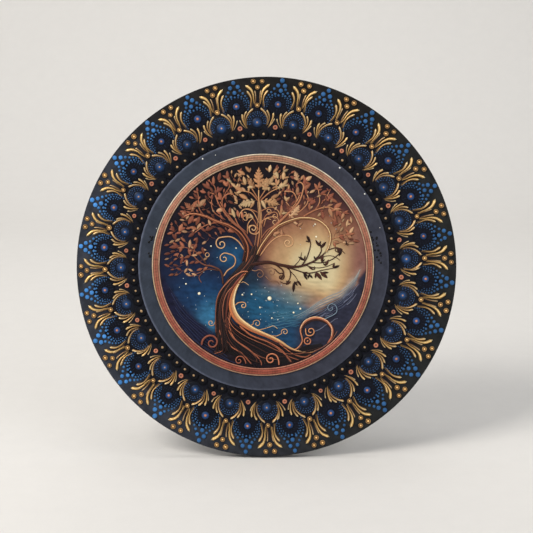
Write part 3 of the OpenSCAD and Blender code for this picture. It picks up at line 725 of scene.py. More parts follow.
@dataclass
class Workshop:
    face: FaceFrame
    groups: NodeGroups = field(default_factory=NodeGroups)
    materials: dict[str, bpy.types.Material] = field(default_factory=dict)

    def finish(self, finish: Finish) -> bpy.types.Material:
        """The finish's material, made on first use."""
        if finish.name not in self.materials:
            self.materials[finish.name] = finish.material(self.groups)
        return self.materials[finish.name]

    def add(self, surface: Surface, name: str, finish: Finish, slot: str, *nodes: str, weld: bool = False) -> None:
        """Makes a surface a piece that rides the plaque.

        Args:
            surface: the piece, in the face frame's millimetres.
            name: the object's name.
            finish: what the piece is finished in.
            slot: a label for what the piece is; not used.
            nodes: the CAD nodes it stands for, if any.
            weld: whether points that coincide are merged, as a turned surface needs.
        """
        piece = mesh_object(name, self.face.place(surface.points), surface.faces, surface.tint)
        if weld:
            weld_points(piece)
        piece.data.materials.append(self.finish(finish))
        if nodes:
            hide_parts(*nodes)
        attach(piece, "plaque")
        log.info("%s: %d points", piece.name, len(piece.data.vertices))

    def dress(self, node: str, finish: Finish) -> None:
        """Gives a CAD node that stays in view its finish."""
        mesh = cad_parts[node].data
        mesh.materials.clear()
        mesh.materials.append(self.finish(finish))
        log.info("%s: dressed as %s", node, finish.name)


# ---------------------------------------------------------------- disc, band and ring


def half_round(outer: float, inner: float, height: float, steps: int = 9) -> Array:
    """A bead's section from its outer foot over to its inner foot: an ellipse's upper half, closed underneath."""
    t = np.linspace(0, math.pi, steps)
    mid, half = (outer + inner) / 2, (outer - inner) / 2
    over = np.stack([mid + half * np.cos(t), height * np.sin(t)], axis=-1)
    return np.concatenate([over, over[:1]])


@dataclass
class ClayDisc:
    """The round clay disc with its softened edge, and the slate band painted on it."""

    radius: float = 150.0
    thick: float = 8.0
    bevel: float = 1.0
    edge: float = 0.6
    band_outer: float = 99.0
    band_inner: float = 87.0
    band_height: float = 0.4
    turns: int = 420

    def ground(self, x: Array, y: Array) -> Array:
        """The slip's colour: near black inside, then charcoal, slate on the left and brown-black at the top."""
        r = np.hypot(x, y)
        side = ease(-90, 90, x)
        margin = mix(linear((50, 53, 61)), linear((34, 35, 35)), side)
        margin = mix(margin, linear((27, 24, 21)), ease(60, 130, y) * 0.85)
        belt = np.broadcast_to(linear((19, 20, 28)), margin.shape)
        base = mix(belt, margin, ease(127, 141, r + 1.5 * ripples(x, y, 14, 5)))
        return base * (1 + 0.16 * ripples(x, y, 9, 11) + 0.1 * ripples(x, y, 3.5, 12))[..., None]

    def build(self, shop: Workshop) -> None:
        """Turns the disc's section round its axis, and lays the band as rings between two circles."""
        back = [(0, -self.thick), (60, -self.thick), (120, -self.thick), (self.radius - self.bevel, -self.thick)]
        t = np.linspace(0, math.pi / 2, 5)
        lower = np.stack([self.radius - self.bevel * (1 - np.sin(t)), -self.thick + self.bevel * (1 - np.cos(t))], -1)
        upper = np.stack([self.radius - self.edge * (1 - np.cos(t)), -self.edge * (1 - np.sin(t))], -1)
        face = np.stack([np.linspace(self.radius - self.edge - 0.4, 0, 110), np.zeros(110)], -1)
        side = [(self.radius, -self.thick + 2.5), (self.radius, -self.thick / 2)]
        points, faces = lathe(np.concatenate([back, lower[1:], side, upper, face]), self.turns)
        x, y, z = points.T
        swell = 0.05 * ripples(x, y, 16, 21) * ease(0, 20, self.radius - np.hypot(x, y))
        points[:, 2] += np.where(z > -0.3, np.minimum(swell, 0.0), 0.0)
        disc = Surface(points, faces, full_tint(self.ground(x, y)))
        shop.add(disc, "clay_disc", CLAY_BLACK, "black_clay", "base_disc", weld=True)
        self.build_band(shop)

    def build_band(self, shop: Workshop) -> None:
        """The band: a point lies a share of the way from the ring's circle to the band's own outer circle."""
        ring = unit_circle(np.linspace(0, 2 * math.pi, self.turns, endpoint=False))
        share = np.array([1.0, 1.0, 0.985, 0.96, 0.85, 0.7, 0.55, 0.4, 0.25, 0.1, 0.0, 0.0, 1.0])[:, None]
        h = self.band_height
        z = np.array([0, 0.2, 0.34, h, h, h, h, h, h, h, h, 0, 0])[:, None]
        inside = np.asarray(MEDALLION[:2]) + self.band_inner * ring
        outside = np.asarray(ROW_CENTRE) + self.band_outer * ring
        xy = inside[None] * (1 - share[..., None]) + outside[None] * share[..., None]
        points = rows_of(xy, np.broadcast_to(z, xy.shape[:2])[..., None])
        x, y = points[:, 0], points[:, 1]
        left = ease(-40, 80, -x)
        colour = mix(linear((54, 56, 67)), linear((50, 56, 67)), left)
        # painted highlight: a lighter line along the band's outer edge, strongest on the left
        rim = ease(0.9, 0.99, np.repeat(share[:, 0], self.turns)) * (0.25 + 0.75 * left)
        colour = mix(colour, linear((104, 110, 128)), rim * 0.8)
        colour = colour * (1 + 0.1 * ripples(x, y, 12, 31) + 0.08 * ripples(x, y, 4, 32))[..., None]
        faces = [grid_faces(len(share), self.turns, wrap=True)[:, ::-1]]
        band = Surface(points, faces, full_tint(colour))
        shop.add(band, "slate_band_slip", SLATE, "slate_slip", "slate_band", weld=True)


@dataclass
class CopperRing:
    """The copper ring round the picture: a grooved and hatched band between two bright beads."""

    outer: float = 87.7
    width: float = 6.2
    height: float = 2.2
    turns: int = 720

    def turned(self, section: Array, colours: Stops, hatch: float, seed: int) -> Surface:
        """Turns a section round the picture's centre.

        Args:
            section: (k, 2) closed section rows.
            colours: ramp from the ring's bottom (-1) to its top (1) on the face.
            hatch: how strongly fine cross cuts lighten and darken it.
            seed: picks the patches.

        Returns:
            The turned surface; its tint follows the height on the face, patchy and cut across by the hatch.
        """
        points, faces = lathe(section, self.turns, MEDALLION[:2])
        x, y = points[:, 0] - MEDALLION[0], points[:, 1] - MEDALLION[1]
        angle = np.arctan2(y, x)
        colour = ramp(colours, y / self.outer)
        cuts = np.sin(angle * 239 + 3 * ripples(x, y, 40, seed)) * hatch
        lines = 0.3 * np.cos(2 * math.pi * (np.hypot(x, y) - self.outer + 1.2) / 1.95) * (hatch > 0.1)
        shade = 1 + cuts - lines + 0.12 * ripples(x, y, 10, seed + 1) + 0.1 * ripples(x, y, 3, seed + 2)
        crest = np.clip(points[:, 2:3] / section[:, 1].max(), 0, 1)
        return Surface(points, faces, rows_of(np.clip(colour * shade[:, None], 0, 1), crest))

    def build(self, shop: Workshop) -> None:
        """Makes the outer bead, the grooved band and the inner bead."""
        r, w, h = self.outer, self.width, self.height
        cream: Stops = [(-1, (170, 130, 104)), (-0.2, (184, 156, 122)), (0.6, (214, 202, 180)), (1, (206, 192, 168))]
        copper: Stops = [(-1, (146, 74, 58)), (-0.3, (150, 86, 68)), (0.4, (160, 106, 84)), (1, (168, 124, 98))]
        sand: Stops = [(-1, (178, 118, 96)), (0, (184, 146, 120)), (1, (190, 164, 136))]
        t = np.linspace(0, 1, 17)
        outer, inner = r - 1.2, r - w + 1.1
        lie = h * (0.74 + 0.16 * np.sin(math.pi * t)) + 0.14 * np.cos(t * 2 * math.pi * 4)
        over = np.stack([outer + (inner - outer) * t, lie], axis=-1)
        band = np.concatenate([[(outer, 0)], over, [(inner, 0)], [(outer, 0)]])
        parts = [
            ("ring_outer_bead_slip", half_round(r, outer - 0.1, h * 0.85), cream, 0.04, RAISED_PAINT, "cream_slip",
             "ring_outer_bead"),
            ("ring_band_copper", band, copper, 0.14, COPPER_PAINT, "copper_slip", "copper_ring"),
            ("ring_inner_bead_slip", half_round(inner + 0.1, r - w, h * 0.8), sand, 0.06, RAISED_PAINT, "sand_slip",
             "ring_inner_bead"),
        ]
        for seed, (name, section, colours, hatch, finish, slot, node) in enumerate(parts):
            shop.add(self.turned(section, colours, hatch, 40 + 5 * seed), name, finish, slot, node, weld=True)


# ---------------------------------------------------------------- picture


@dataclass(frozen=True)
class Pool:
    """A soft pool of colour in the picture: its middle, its reach each way, its colour and its strength."""

    x: float
    y: float
    wide: float
    high: float
    colour: Colour
    strength: float = 1.0
    turn: float = 0.0

    def over(self, ground: Array, x: Array, y: Array) -> Array:
        """Lays the pool over ground, strongest in its middle and fading as a bell curve."""
        c, s = heading(self.turn)
        dx, dy = x - self.x, y - self.y
        reach = ((dx * c + dy * s) / self.wide) ** 2 + ((dy * c - dx * s) / self.high) ** 2
        return mix(ground, linear(self.colour), self.strength * np.exp(-(reach**1.3)))


@dataclass
class NightPicture:
    """The painted picture behind the tree: night sky, blue water, glow of the low sun, and mist."""

    radius: float = 81.5
    height: float = MEDALLION[2]
    rings: int = 150
    turns: int = 440
    glow: tuple[float, float] = (42.0, 0.0)
    water: Colour = (27, 62, 92)
    mist: Colour = (178, 170, 156)
    below_mist: Colour = (42, 43, 58)
    bank_slip: Colour = (25, 25, 46)
    ground_slip: Colour = (26, 20, 26)
    pools: tuple[Pool, ...] = (
        Pool(-24, 7, 14, 11, (28, 74, 110), 0.85),
        Pool(-58, -22, 17, 15, (24, 46, 76), 0.6),
        Pool(-46, -23, 21, 14, (22, 56, 92), 0.85),
        Pool(-40, -41, 12, 14, (52, 110, 146), 0.9, -20),
        Pool(2, -33, 26, 13, (28, 78, 108), 0.9),
        Pool(22, -38, 17, 7, (56, 100, 120), 0.75),
        Pool(-8, -11, 12, 8, (30, 44, 58), 0.85),
        Pool(9, -21, 14, 6, (66, 106, 120), 0.6),
        Pool(27, -26, 13, 6, (122, 136, 128), 0.6),
        Pool(79, 4, 13, 30, (122, 80, 74), 0.85),
    )
    glow_stops: Stops = field(default_factory=lambda: [
        (0, (210, 198, 156)), (13, (204, 186, 144)), (22, (186, 154, 112)), (30, (156, 114, 83)),
        (38, (126, 81, 62)), (48, (80, 49, 46)), (58, (40, 27, 33)), (72, (25, 18, 23)), (110, (21, 16, 21))])

    def mist_line(self, x: Array) -> Array:
        """How high the wave of mist stands at each x, right of the trunk."""
        return np.interp(x, [10, 26, 36, 50, 62, 72, 80, 90], [-46, -43, -38, -30, -24, -14, -2, 8])

    def shore_line(self, x: Array) -> Array:
        """Where the dark lower left bank begins at each x."""
        return np.interp(x, [-90, -78, -66, -52, -36, -20], [0, -8, -28, -42, -54, -66])

    def root_line(self, x: Array) -> Array:
        """The top of the dark ground under the trunk's crescent and the roots."""
        return np.interp(x, [-45, -34, -26, -20, -9, 3, 13, 24, 38, 50, 60],
                         [-60, -60, -46, -46, -53, -58, -62, -67, -71, -68, -60])

    def paint(self, x: Array, y: Array) -> Array:
        """Paints every point: the sun's glow, the night sky, then pools of colour, mist and the dark ground.

        Args:
            x, y: places in the picture's millimetres.

        Returns:
            Linear colours.
        """
        wander = 2.5 * ripples(x, y, 26, 3)
        gx, gy = self.glow
        reach = np.hypot((x - gx) / 1.15, y - gy) + wander
        colour = ramp(self.glow_stops, reach)
        left = ease(6, -12, x + 0.15 * y + wander)
        night = ramp([(-80, (24, 24, 40)), (-30, (24, 32, 56)), (-5, (22, 30, 54)), (15, (24, 25, 42)),
                      (30, (24, 20, 31)), (50, (23, 18, 24)), (80, (21, 16, 21))], y + wander)
        colour = mix(colour, night, left)
        low = ease(3, -9, y + 9.5 + 0.5 * (x + 5) + 1.5 * wander) * ease(-14, -8, x)
        colour = mix(colour, linear(self.water), low * 0.95)
        for pool in self.pools:
            colour = pool.over(colour, x, y)
        above = y - self.mist_line(x) + 1.6 * ripples(x, y, 12, 8)
        right = ease(22, 44, x)
        crest = np.exp(-((above - 1.5) / 3.6) ** 2) * right * ease(82, 68, x) * 0.6
        colour = mix(colour, linear(self.mist), crest)
        colour = mix(colour, linear(self.below_mist), ease(0, -6, above) * ease(20, 34, x))
        bank = y - self.shore_line(x) + 1.5 * ripples(x, y, 14, 9)
        colour = mix(colour, linear(self.bank_slip), ease(3, -6, bank) * ease(-14, -26, x))
        colour = mix(colour, linear(self.ground_slip), ease(1.5, -2.5, y - self.root_line(x)))
        calm = 1 - 0.9 * np.exp(-((reach / 34) ** 4))
        streaks = ripples(x * 0.35 + y * 0.1, y * 1.6, 5, 14)
        water = ease(-4, -20, y)
        brush = 1 + 0.13 * water * streaks + calm * (0.12 * ripples(x, y, 6, 15) + 0.08 * ripples(x, y, 2.6, 16))
        return np.clip(colour * brush[..., None], 0, 1)

    def build(self, shop: Workshop) -> None:
        """Makes the panel as rings from its edge in, painted point by point, and the streaks of mist."""
        edge = [(self.radius, 0.0), (self.radius, self.height * 0.7)]
        face = np.stack([np.linspace(self.radius - 0.1, 0, self.rings), np.full(self.rings, self.height)], axis=-1)
        under = [(0.0, 0.0), (self.radius, 0.0)]
        points, faces = lathe(np.concatenate([edge, face, under]), self.turns)
        panel = Surface(points, faces, full_tint(self.paint(points[:, 0], points[:, 1]))).shifted((*MEDALLION[:2], 0))
        shop.add(panel, "night_picture", PICTURE_PAINT, "night_picture", "medallion_panel", weld=True)
        self.build_mist(shop)

    def build_mist(self, shop: Workshop) -> None:
        """Lays raised brush lines: the mist's crests and streaks, the left bank's folds and the water's ripples."""
        rng = np.random.default_rng(77)
        parts = []
        for k in range(9):
            x = np.linspace(24 + 3 * k, 77 - 0.8 * k, 13)
            y = self.mist_line(x) + 3.4 - 1.7 * k + 0.8 * np.sin(x * 0.16 + 0.7 * k)
            fade = min(1.0, k / 6)
            ink = (156 - 90 * fade, 154 - 82 * fade, 146 - 52 * fade)
            foot = (110 - 52 * fade, 132 - 68 * fade, 140 - 54 * fade)
            parts.append(brush_line(x, y, 0.34, 0.25, foot, ink))
        for k in range(12):
            x0, y0 = rng.uniform(38, 70), rng.uniform(-6, -2)
            x = np.linspace(x0, x0 + rng.uniform(5, 13), 5)
            y = self.mist_line(x) + y0 * (1 + 0.2 * k) + 0.4 * np.sin(x * 0.8)
            parts.append(brush_line(x, y, 0.3, 0.2, (116, 120, 138), (84, 86, 106)))
        for k in range(10):
            x = np.linspace(-74 + 1.6 * k, -36 + 2.0 * k, 8)
            y = self.shore_line(x) - 3 - 2.5 * k + 0.7 * np.sin(x * 0.25 + 0.8 * k)
            ink = (34, 42, 72) if k % 2 else (28, 32, 54)
            parts.append(brush_line(x, y, 0.35, 0.2, ink, (31, 36, 62)))
        for k in range(7):
            x = np.linspace(2 + 2 * k, 27 + 1.5 * k, 7)
            y = -49 + 1.9 * k + 0.9 * np.sin(x * 0.35 + k)
            parts.append(brush_line(x, y, 0.3, 0.18, (70, 118, 138), (46, 90, 116)))
        whole = Surface.joined(parts).shifted(MEDALLION)
        shop.add(whole, "mist_brush_lines", RAISED_PAINT, "night_picture")


def within(path: Array, limit: float = 80.6) -> Array:
    """Draws a path's points in towards the picture's middle where they pass its edge."""
    p = np.array(path, float)
    r = np.hypot(p[:, 0], p[:, 1])
    room = limit - (p[:, 2] if p.shape[1] > 2 else 0)
    p[:, :2] *= np.minimum(1, room / np.maximum(r, 1e-6))[:, None]
    return p


def brush_line(x: Array, y: Array, half: float, height: float, start: Colour, end: Colour) -> Surface:
    """A raised brush line of one half width through the places (x, y), kept inside the picture."""
    return Strand(within(np.stack([x, y, np.full(len(x), half)], -1)), height, start, end).surface()


# ---------------------------------------------------------------- tree


def bough(points: list[tuple[float, ...]], first: float, last: float, foot: Colour, tip: Colour, lift: float,
          base: float = 0.0) -> Surface:
    """A branch whose half width runs from first to last and whose colour runs from foot to tip."""
    path = within(np.array(tapered(points, first, last)))
    return Strand(path, lift, foot, tip, across=5, steps=max(9, 4 * len(points)), base=base).surface()


def boughs(rows: list[BoughRow], slim: float, foot: Colour, tip: Colour, lift: float) -> list[Surface]:
    """Branches of one colouring, one for each row, with each row's first half width made slim times as wide."""
    return [bough(points, slim * first, last, foot, tip, lift) for points, first, last in rows]


def curl(x: float, y: float, outer: float, inner: float, start: float, turns: float) -> list[tuple[float, float]]:
    """A spiral's points from its outer end in: its angle runs on while its radius shrinks in equal shares."""
    t = np.linspace(0, 1, 4 + int(7 * abs(turns)))
    r = outer * (inner / outer) ** t
    a = math.radians(start) + 2 * math.pi * turns * t
    return list(zip((x + r * np.cos(a)).tolist(), (y + r * np.sin(a)).tolist()))


def cords(path: Array, count: int, spread: float, thick: float, inks: list[tuple[Colour, Colour]], lift: float,
          seed: int) -> list[Surface]:
    """Fine strands of clay that run along a limb beside each other.

    Args:
        path: the limb's (x, y, half width) points.
        count: how many strands.
        spread: how far to each side they go, as a share of the half width.
        thick: a strand's half width.
        inks: (foot colour, tip colour) pairs, taken in turn.
        lift: how high the strands stand.
        seed: picks how they wander.

    Returns:
        The strands: each is the smoothed path moved along its normal by its own share of the half width, with a
        slow sine wander.
    """
    rng = np.random.default_rng(seed)
    line = smooth_path(path, 14)
    normal = normals(line)
    t = np.linspace(0, 1, 14)
    made = []
    for k, share in enumerate(np.linspace(-spread, spread, count)):
        wander = 0.16 * np.sin(2 * math.pi * (t * rng.uniform(0.6, 1.5) + rng.uniform(0, 1)))
        side = (share + wander) * line[:, 2]
        width = np.minimum(thick * (1 - 0.5 * t) * rng.uniform(0.8, 1.2), np.maximum(line[:, 2], 0.3) * 0.6)
        xy = line[:, :2] + normal * side[:, None]
        foot, tip = inks[k % len(inks)]
        lie = (lift - 0.35) * math.sqrt(max(0.0, 1 - share**2)) + 0.12 * float(rng.uniform(0, 1))
        strand = Strand(within(np.concatenate([xy, width[:, None]], -1)), 0.6, foot, tip, across=5, steps=26, base=lie)
        made.append(strand.surface())
    return made


@dataclass
class Foliage:
    """One group of leaves: where they grow, how their colour runs and how many smaller ones grow beside them."""

    name: str
    slot: str
    node: str
    grown: list[tuple[float, float, float, float]]
    colours: tuple[Colour, ...]
    seed: int
    slim: float = 0.2
    company: int = 1
    base: float = 0.0
    spacing: float = 0.0
    side: int = 0
    lobed_from: float = 8.5
    edge: float = 80.4

    def ink(self, rng: np.random.Generator) -> Array:
        """One of the group's colours, drawn at random."""
        return linear(self.colours[int(rng.integers(len(self.colours)))])

    def surface(self) -> Surface:
        """Lays each leaf, and beside it its smaller company turned away by 35 to 75 degrees."""
        rng = np.random.default_rng(self.seed)
        parts = self.twigs_and_buds(rng)
        for k, (x, y, turn, long) in enumerate(self.grown):
            batch = [(x, y, turn, long)]
            for m in range(self.company):
                away = turn + (1 if (k + m) % 2 else -1) * rng.uniform(35, 75)
                step = rng.uniform(-0.1, 0.35) * long
                c, d = heading(turn)
                batch.append((x + step * c, y + step * d, away, long * rng.uniform(0.45, 0.75)))
            for lx, ly, lt, ll in batch:
                lx, ly, ll = self.kept_in(lx, ly, lt, ll)
                ink = self.ink(rng) * rng.uniform(0.75, 1.2)
                if ll > self.lobed_from:
                    parts += lobed_leaf(lx, ly, lt, ll, ll * 0.22, ink)
                else:
                    parts.append(leaf_surface(lx, ly, lt, ll, ll * self.slim * rng.uniform(0.85, 1.2), ink))
        return Surface.joined(parts).shifted((0, 0, self.base))

    def twigs_and_buds(self, rng: np.random.Generator) -> list[Surface]:
        """Fills the group's part of the crown: leaves on short twigs, none closer than its spacing to another.

        Returns:
            The leaves and twigs that point away from the top of the trunk, give or take 45 degrees.
        """
        if self.spacing <= 0:
            return []
        placed = [(x + 0.5 * long * heading(a)[0], y + 0.5 * long * heading(a)[1]) for x, y, a, long in self.grown]
        parts = []
        # each try draws x, y, the stray from straight out, the leaf's length and its shade
        low, high, tries = (-80, -12, -45, 3.0, 0.55), (80, 79, 45, 5.6, 1.2), 3200
        for x, y, stray, size, dark in rng.uniform(low, high, (tries, len(low))):
            near = np.hypot(*(np.array(placed) - (x, y)).T).min()
            if near < self.spacing or math.hypot(x, y) > self.edge - 2.2 or not self.grows_at(x, y):
                continue
            placed.append((x, y))
            turn = math.degrees(math.atan2(y - 12, x + 3)) + stray
            c, d = heading(turn)
            ink = self.ink(rng) * dark
            px, py, long = self.kept_in(x - 0.5 * size * c, y - 0.5 * size * d, turn, size)
            parts.append(leaf_surface(px, py, turn, long, long * self.slim, ink))
            twig = [(px - 3.2 * c + 1.2 * d, py - 3.2 * d - 1.2 * c), (px - 1.4 * c, py - 1.4 * d), (px, py)]
            parts.append(Strand(within(np.array(tapered(twig, 0.22, 0.2))), 0.3, (112, 66, 46), (140, 86, 60),
                                across=3, steps=5).surface())
        return parts

    def grows_at(self, x: float, y: float) -> bool:
        """Whether the group's leaves grow at a place: its side of the crown, clear of the heart and the glow."""
        crown = y > 60 or (x < -24 and y > 30 + 0.4 * (x + 24)) or (x > 22 and y > 44) or (x > 58 and y > 16)
        low_left = -76 < x < -44 and -8 < y < 30
        if self.side == 0:
            return abs(x + 3) < 24 and y > 56 and not (abs(x + 3) < 7 and y < 78)
        inner_sky = 12 < abs(x + 3) < 26 and y > 38
        return (x * self.side > 20 and (crown or (low_left and self.side < 0))) or (x * self.side > 0 and inner_sky)

    def kept_in(self, x: float, y: float, turn: float, long: float, least: float = 2.5) -> tuple[float, float, float]:
        """Shortens a leaf that would pass the ring, to no less than least, and draws its stalk in."""
        c, d = heading(turn)
        while long > least and math.hypot(x + long * c, y + long * d) > self.edge:
            long *= 0.85
        pull = min(1.0, (self.edge - least) / max(math.hypot(x, y), 1e-6))
        return x * pull, y * pull, long


@dataclass
class TreeOfLife:
    """The relief tree: corded trunk with its bright crescent, limbs, scrolls, roots, leaves and stars."""

    copper: Colour = (168, 98, 66)
    rust: Colour = (122, 62, 44)
    tan: Colour = (206, 156, 106)
    cream: Colour = (240, 214, 160)

    def piece(self, shop: Workshop, name: str, parts: list[Surface], slot: str, *nodes: str,
              finish: Finish = TREE_CLAY) -> None:
        """Joins a group's surfaces on the picture as one piece."""
        shop.add(Surface.joined(parts).shifted(MEDALLION), name, finish, slot, *nodes)

    def build(self, shop: Workshop) -> None:
        """Makes every group of the tree."""
        self.trunk(shop)
        self.limbs(shop)
        self.branches(shop)
        self.roots(shop)
        self.tendrils(shop)
        self.leaves(shop)
        self.stars(shop)

    def trunk(self, shop: Workshop) -> None:
        """The dark trunk, its copper contour lines, and the crescent of light down its right side."""
        body = [(-31, -69, 9), (-32, -58, 5.4), (-32.5, -46, 5), (-31, -31, 5.2), (-26, -17, 4.8),
                (-16.5, -5, 4.6), (-8, 6, 4.4), (-5, 15, 3.4)]
        inks = [((34, 22, 21), (44, 28, 25)), ((23, 17, 18), (30, 21, 21)), ((48, 29, 25), (98, 56, 41)),
                ((25, 18, 19), (52, 32, 28))]
        parts = [Strand(within(np.array(body, float)), 1.0, (24, 17, 18), (34, 22, 21), across=11, steps=60).surface()]
        parts += cords(np.array(body, float), 11, 0.86, 0.5, inks, 1.05, 3)
        lines = [
            ([(-11.7, -5.4), (-16.4, -5.4), (-23.6, -9.6), (-29.5, -15.5), (-33.7, -20.9), (-36, -26.2), (-36.9, -31),
              (-37.4, -42), (-37.2, -54)], 0.6, 0.4, (188, 118, 84), (96, 54, 42)),
            ([(-18.2, -14.1), (-24.1, -17.3), (-28.9, -23.3), (-31.3, -31), (-31.6, -39.3), (-30.1, -46.5),
              (-27.1, -50.6)], 0.5, 0.4, (172, 104, 74), (118, 66, 50)),
            ([(-14.6, -6.6), (-21.8, -15), (-26.5, -23.3), (-28.3, -33.4), (-28.9, -42.3), (-27, -52)], 1.2, 0.8,
             (122, 60, 44), (66, 36, 30)),
            ([(-8, 8), (-13, 0), (-20, -8), (-27, -16), (-33, -27), (-34.6, -38), (-34.4, -50), (-36, -62)], 0.4, 0.35,
             (122, 72, 52), (64, 38, 32)),
        ]
        for points, first, last, foot, tip in lines:
            parts.append(bough(points, first, last, foot, tip, 0.8, 0.75))
        self.piece(shop, "trunk_bark", parts, "bark_dark", "trunk")
        edge = [(-12.6, -5.8, 0.4), (-18, -12, 1.3), (-22.5, -20.2, 1.9), (-24.6, -31, 2.4), (-20.8, -41.4, 2.6),
                (-11.4, -49, 2.3), (-3.6, -53, 1.9), (5.2, -56.7, 1.6), (13, -60.6, 1.5), (24, -67, 0.9),
                (37.6, -69, 0.7), (50, -63.4, 0.4)]
        inner = [(x - 0.55 * w, y - 0.3 * w, 0.55 * w) for x, y, w in edge[:9]]
        bright = [(x + 0.66 * w, y + 0.34 * w, 0.22 * w) for x, y, w in edge[1:9]]
        parts = [
            Strand(edge, 1.15, (146, 82, 54), (116, 66, 48), left=(224, 176, 118), across=9, steps=70).surface(),
            Strand(inner, 0.5, (206, 124, 72), (160, 88, 56), across=5, steps=50, base=0.6).surface(),
            Strand(bright, 0.5, (250, 230, 184), (236, 192, 132), across=5, steps=50, base=0.7).surface(),
        ]
        self.piece(shop, "trunk_crescent_light", parts, "glow", "trunk_crescent", finish=RAISED_PAINT)

    def limbs(self, shop: Workshop) -> None:
        """The left, right and middle limbs, corded near the trunk and fine at their ends."""
        main = [(-14, 2, 2.6), (-12.4, 13, 2.3), (-17.6, 23.6, 1.9), (-26.5, 30.7, 1.4), (-36.6, 34.3, 1.1),
                (-46.1, 38.5, 0.9), (-56.3, 40.2, 0.6), (-62.2, 37.9, 0.3)]
        inks = [((66, 36, 30), self.copper), (self.copper, (214, 150, 108)), ((44, 26, 24), self.rust)]
        parts = [Strand(main, 0.8, (38, 24, 23), self.rust, across=7, steps=50).surface()]
        parts += cords(np.array(main), 4, 0.75, 0.5, inks, 1.15, 8)
        parts += boughs([
            ([(-34, 33.6), (-41, 32.6), (-47.3, 30.1), (-53.9, 25.4)], 0.8, 0.3),
            ([(-8, 14), (-15.8, 26.6), (-24, 33.5), (-31, 42), (-35.4, 49.2), (-38.4, 55.7), (-43.8, 56.9)], 1.3, 0.3),
            ([(-6.5, 12), (-14, 25), (-22, 33), (-29.5, 42), (-34, 50)], 0.6, 0.35),
            ([(-29.5, 35.5), (-37.2, 40.2), (-40.2, 45), (-40.5, 51.5)], 0.7, 0.3),
            ([(-29.5, 38), (-31.9, 46.8), (-31.9, 52.1), (-27.7, 55.9), (-23, 55.7)], 0.7, 0.6),
            ([(-31.9, 51), (-29.5, 56.9), (-26.5, 61.6), (-27.7, 67.6)], 0.6, 0.3),
            ([(-35.4, 49.2), (-37.2, 57.5), (-38.4, 62.2), (-43.2, 67)], 0.6, 0.3),
            ([(-46.1, 38.5), (-50.3, 44.4), (-50.9, 52.7), (-51.5, 57.5)], 0.7, 0.3),
            ([(-13, 25.6), (-18.8, 30.7), (-22, 37)], 0.8, 0.4),
        ], 0.8, (118, 66, 48), (190, 122, 86), 1.1)
        self.piece(shop, "left_limb_strands", parts, "limb_copper", "left_limbs")
        main = [(-5, 8, 2.2), (-0.5, 16.5, 1.5), (10.2, 29.5, 1.2), (23.3, 35.5, 1), (32.8, 37.3, 0.9),
                (43.5, 35.5, 0.8), (51.3, 28.9, 0.7), (53.4, 21, 0.7), (51.8, 14, 0.7), (49.6, 10.2, 0.6)]
        parts = [Strand(main, 0.8, (44, 27, 24), (150, 96, 66), across=7, steps=60).surface()]
        inks = [(self.rust, self.tan), (self.tan, self.cream), ((60, 34, 28), self.copper)]
        parts += cords(np.array(main), 3, 0.8, 0.45, inks, 1.15, 9)
        parts += boughs([
            ([(31, 37.6), (41.1, 43.2), (50.7, 45.6), (56.6, 43.6), (62.5, 41.4)], 0.9, 0.3),
            ([(41.1, 43.2), (44.1, 48), (44.7, 52.1), (43.5, 60)], 0.8, 0.3),
            ([(5.5, 26), (19.1, 39.6), (28.1, 49.2), (31.6, 58.7), (31.8, 62.8), (29.3, 65.2), (26.9, 64)], 1.2, 0.4),
            ([(-3, 15), (6, 28), (17, 38.5), (26, 49), (29.5, 57)], 0.6, 0.35),
            ([(19.1, 37.3), (26.3, 40.2), (33.4, 46.2), (35.8, 51.5), (34.6, 55.7)], 0.7, 0.4),
            ([(25.7, 46.8), (26.3, 52.7), (23.3, 57.5), (16.8, 58.1)], 0.6, 0.6),
            ([(19.7, 40.2), (21, 45.6), (18, 49.8)], 0.5, 0.4),
            ([(45.9, 48), (50.1, 53.3), (52.4, 58)], 0.5, 0.3),
            ([(53.2, 19.6), (59, 22), (65, 23.6)], 0.6, 0.3),
        ], 0.8, (148, 90, 62), (206, 150, 106), 1.1)
        self.piece(shop, "right_limb_strands", parts, "limb_sand", "right_limbs")
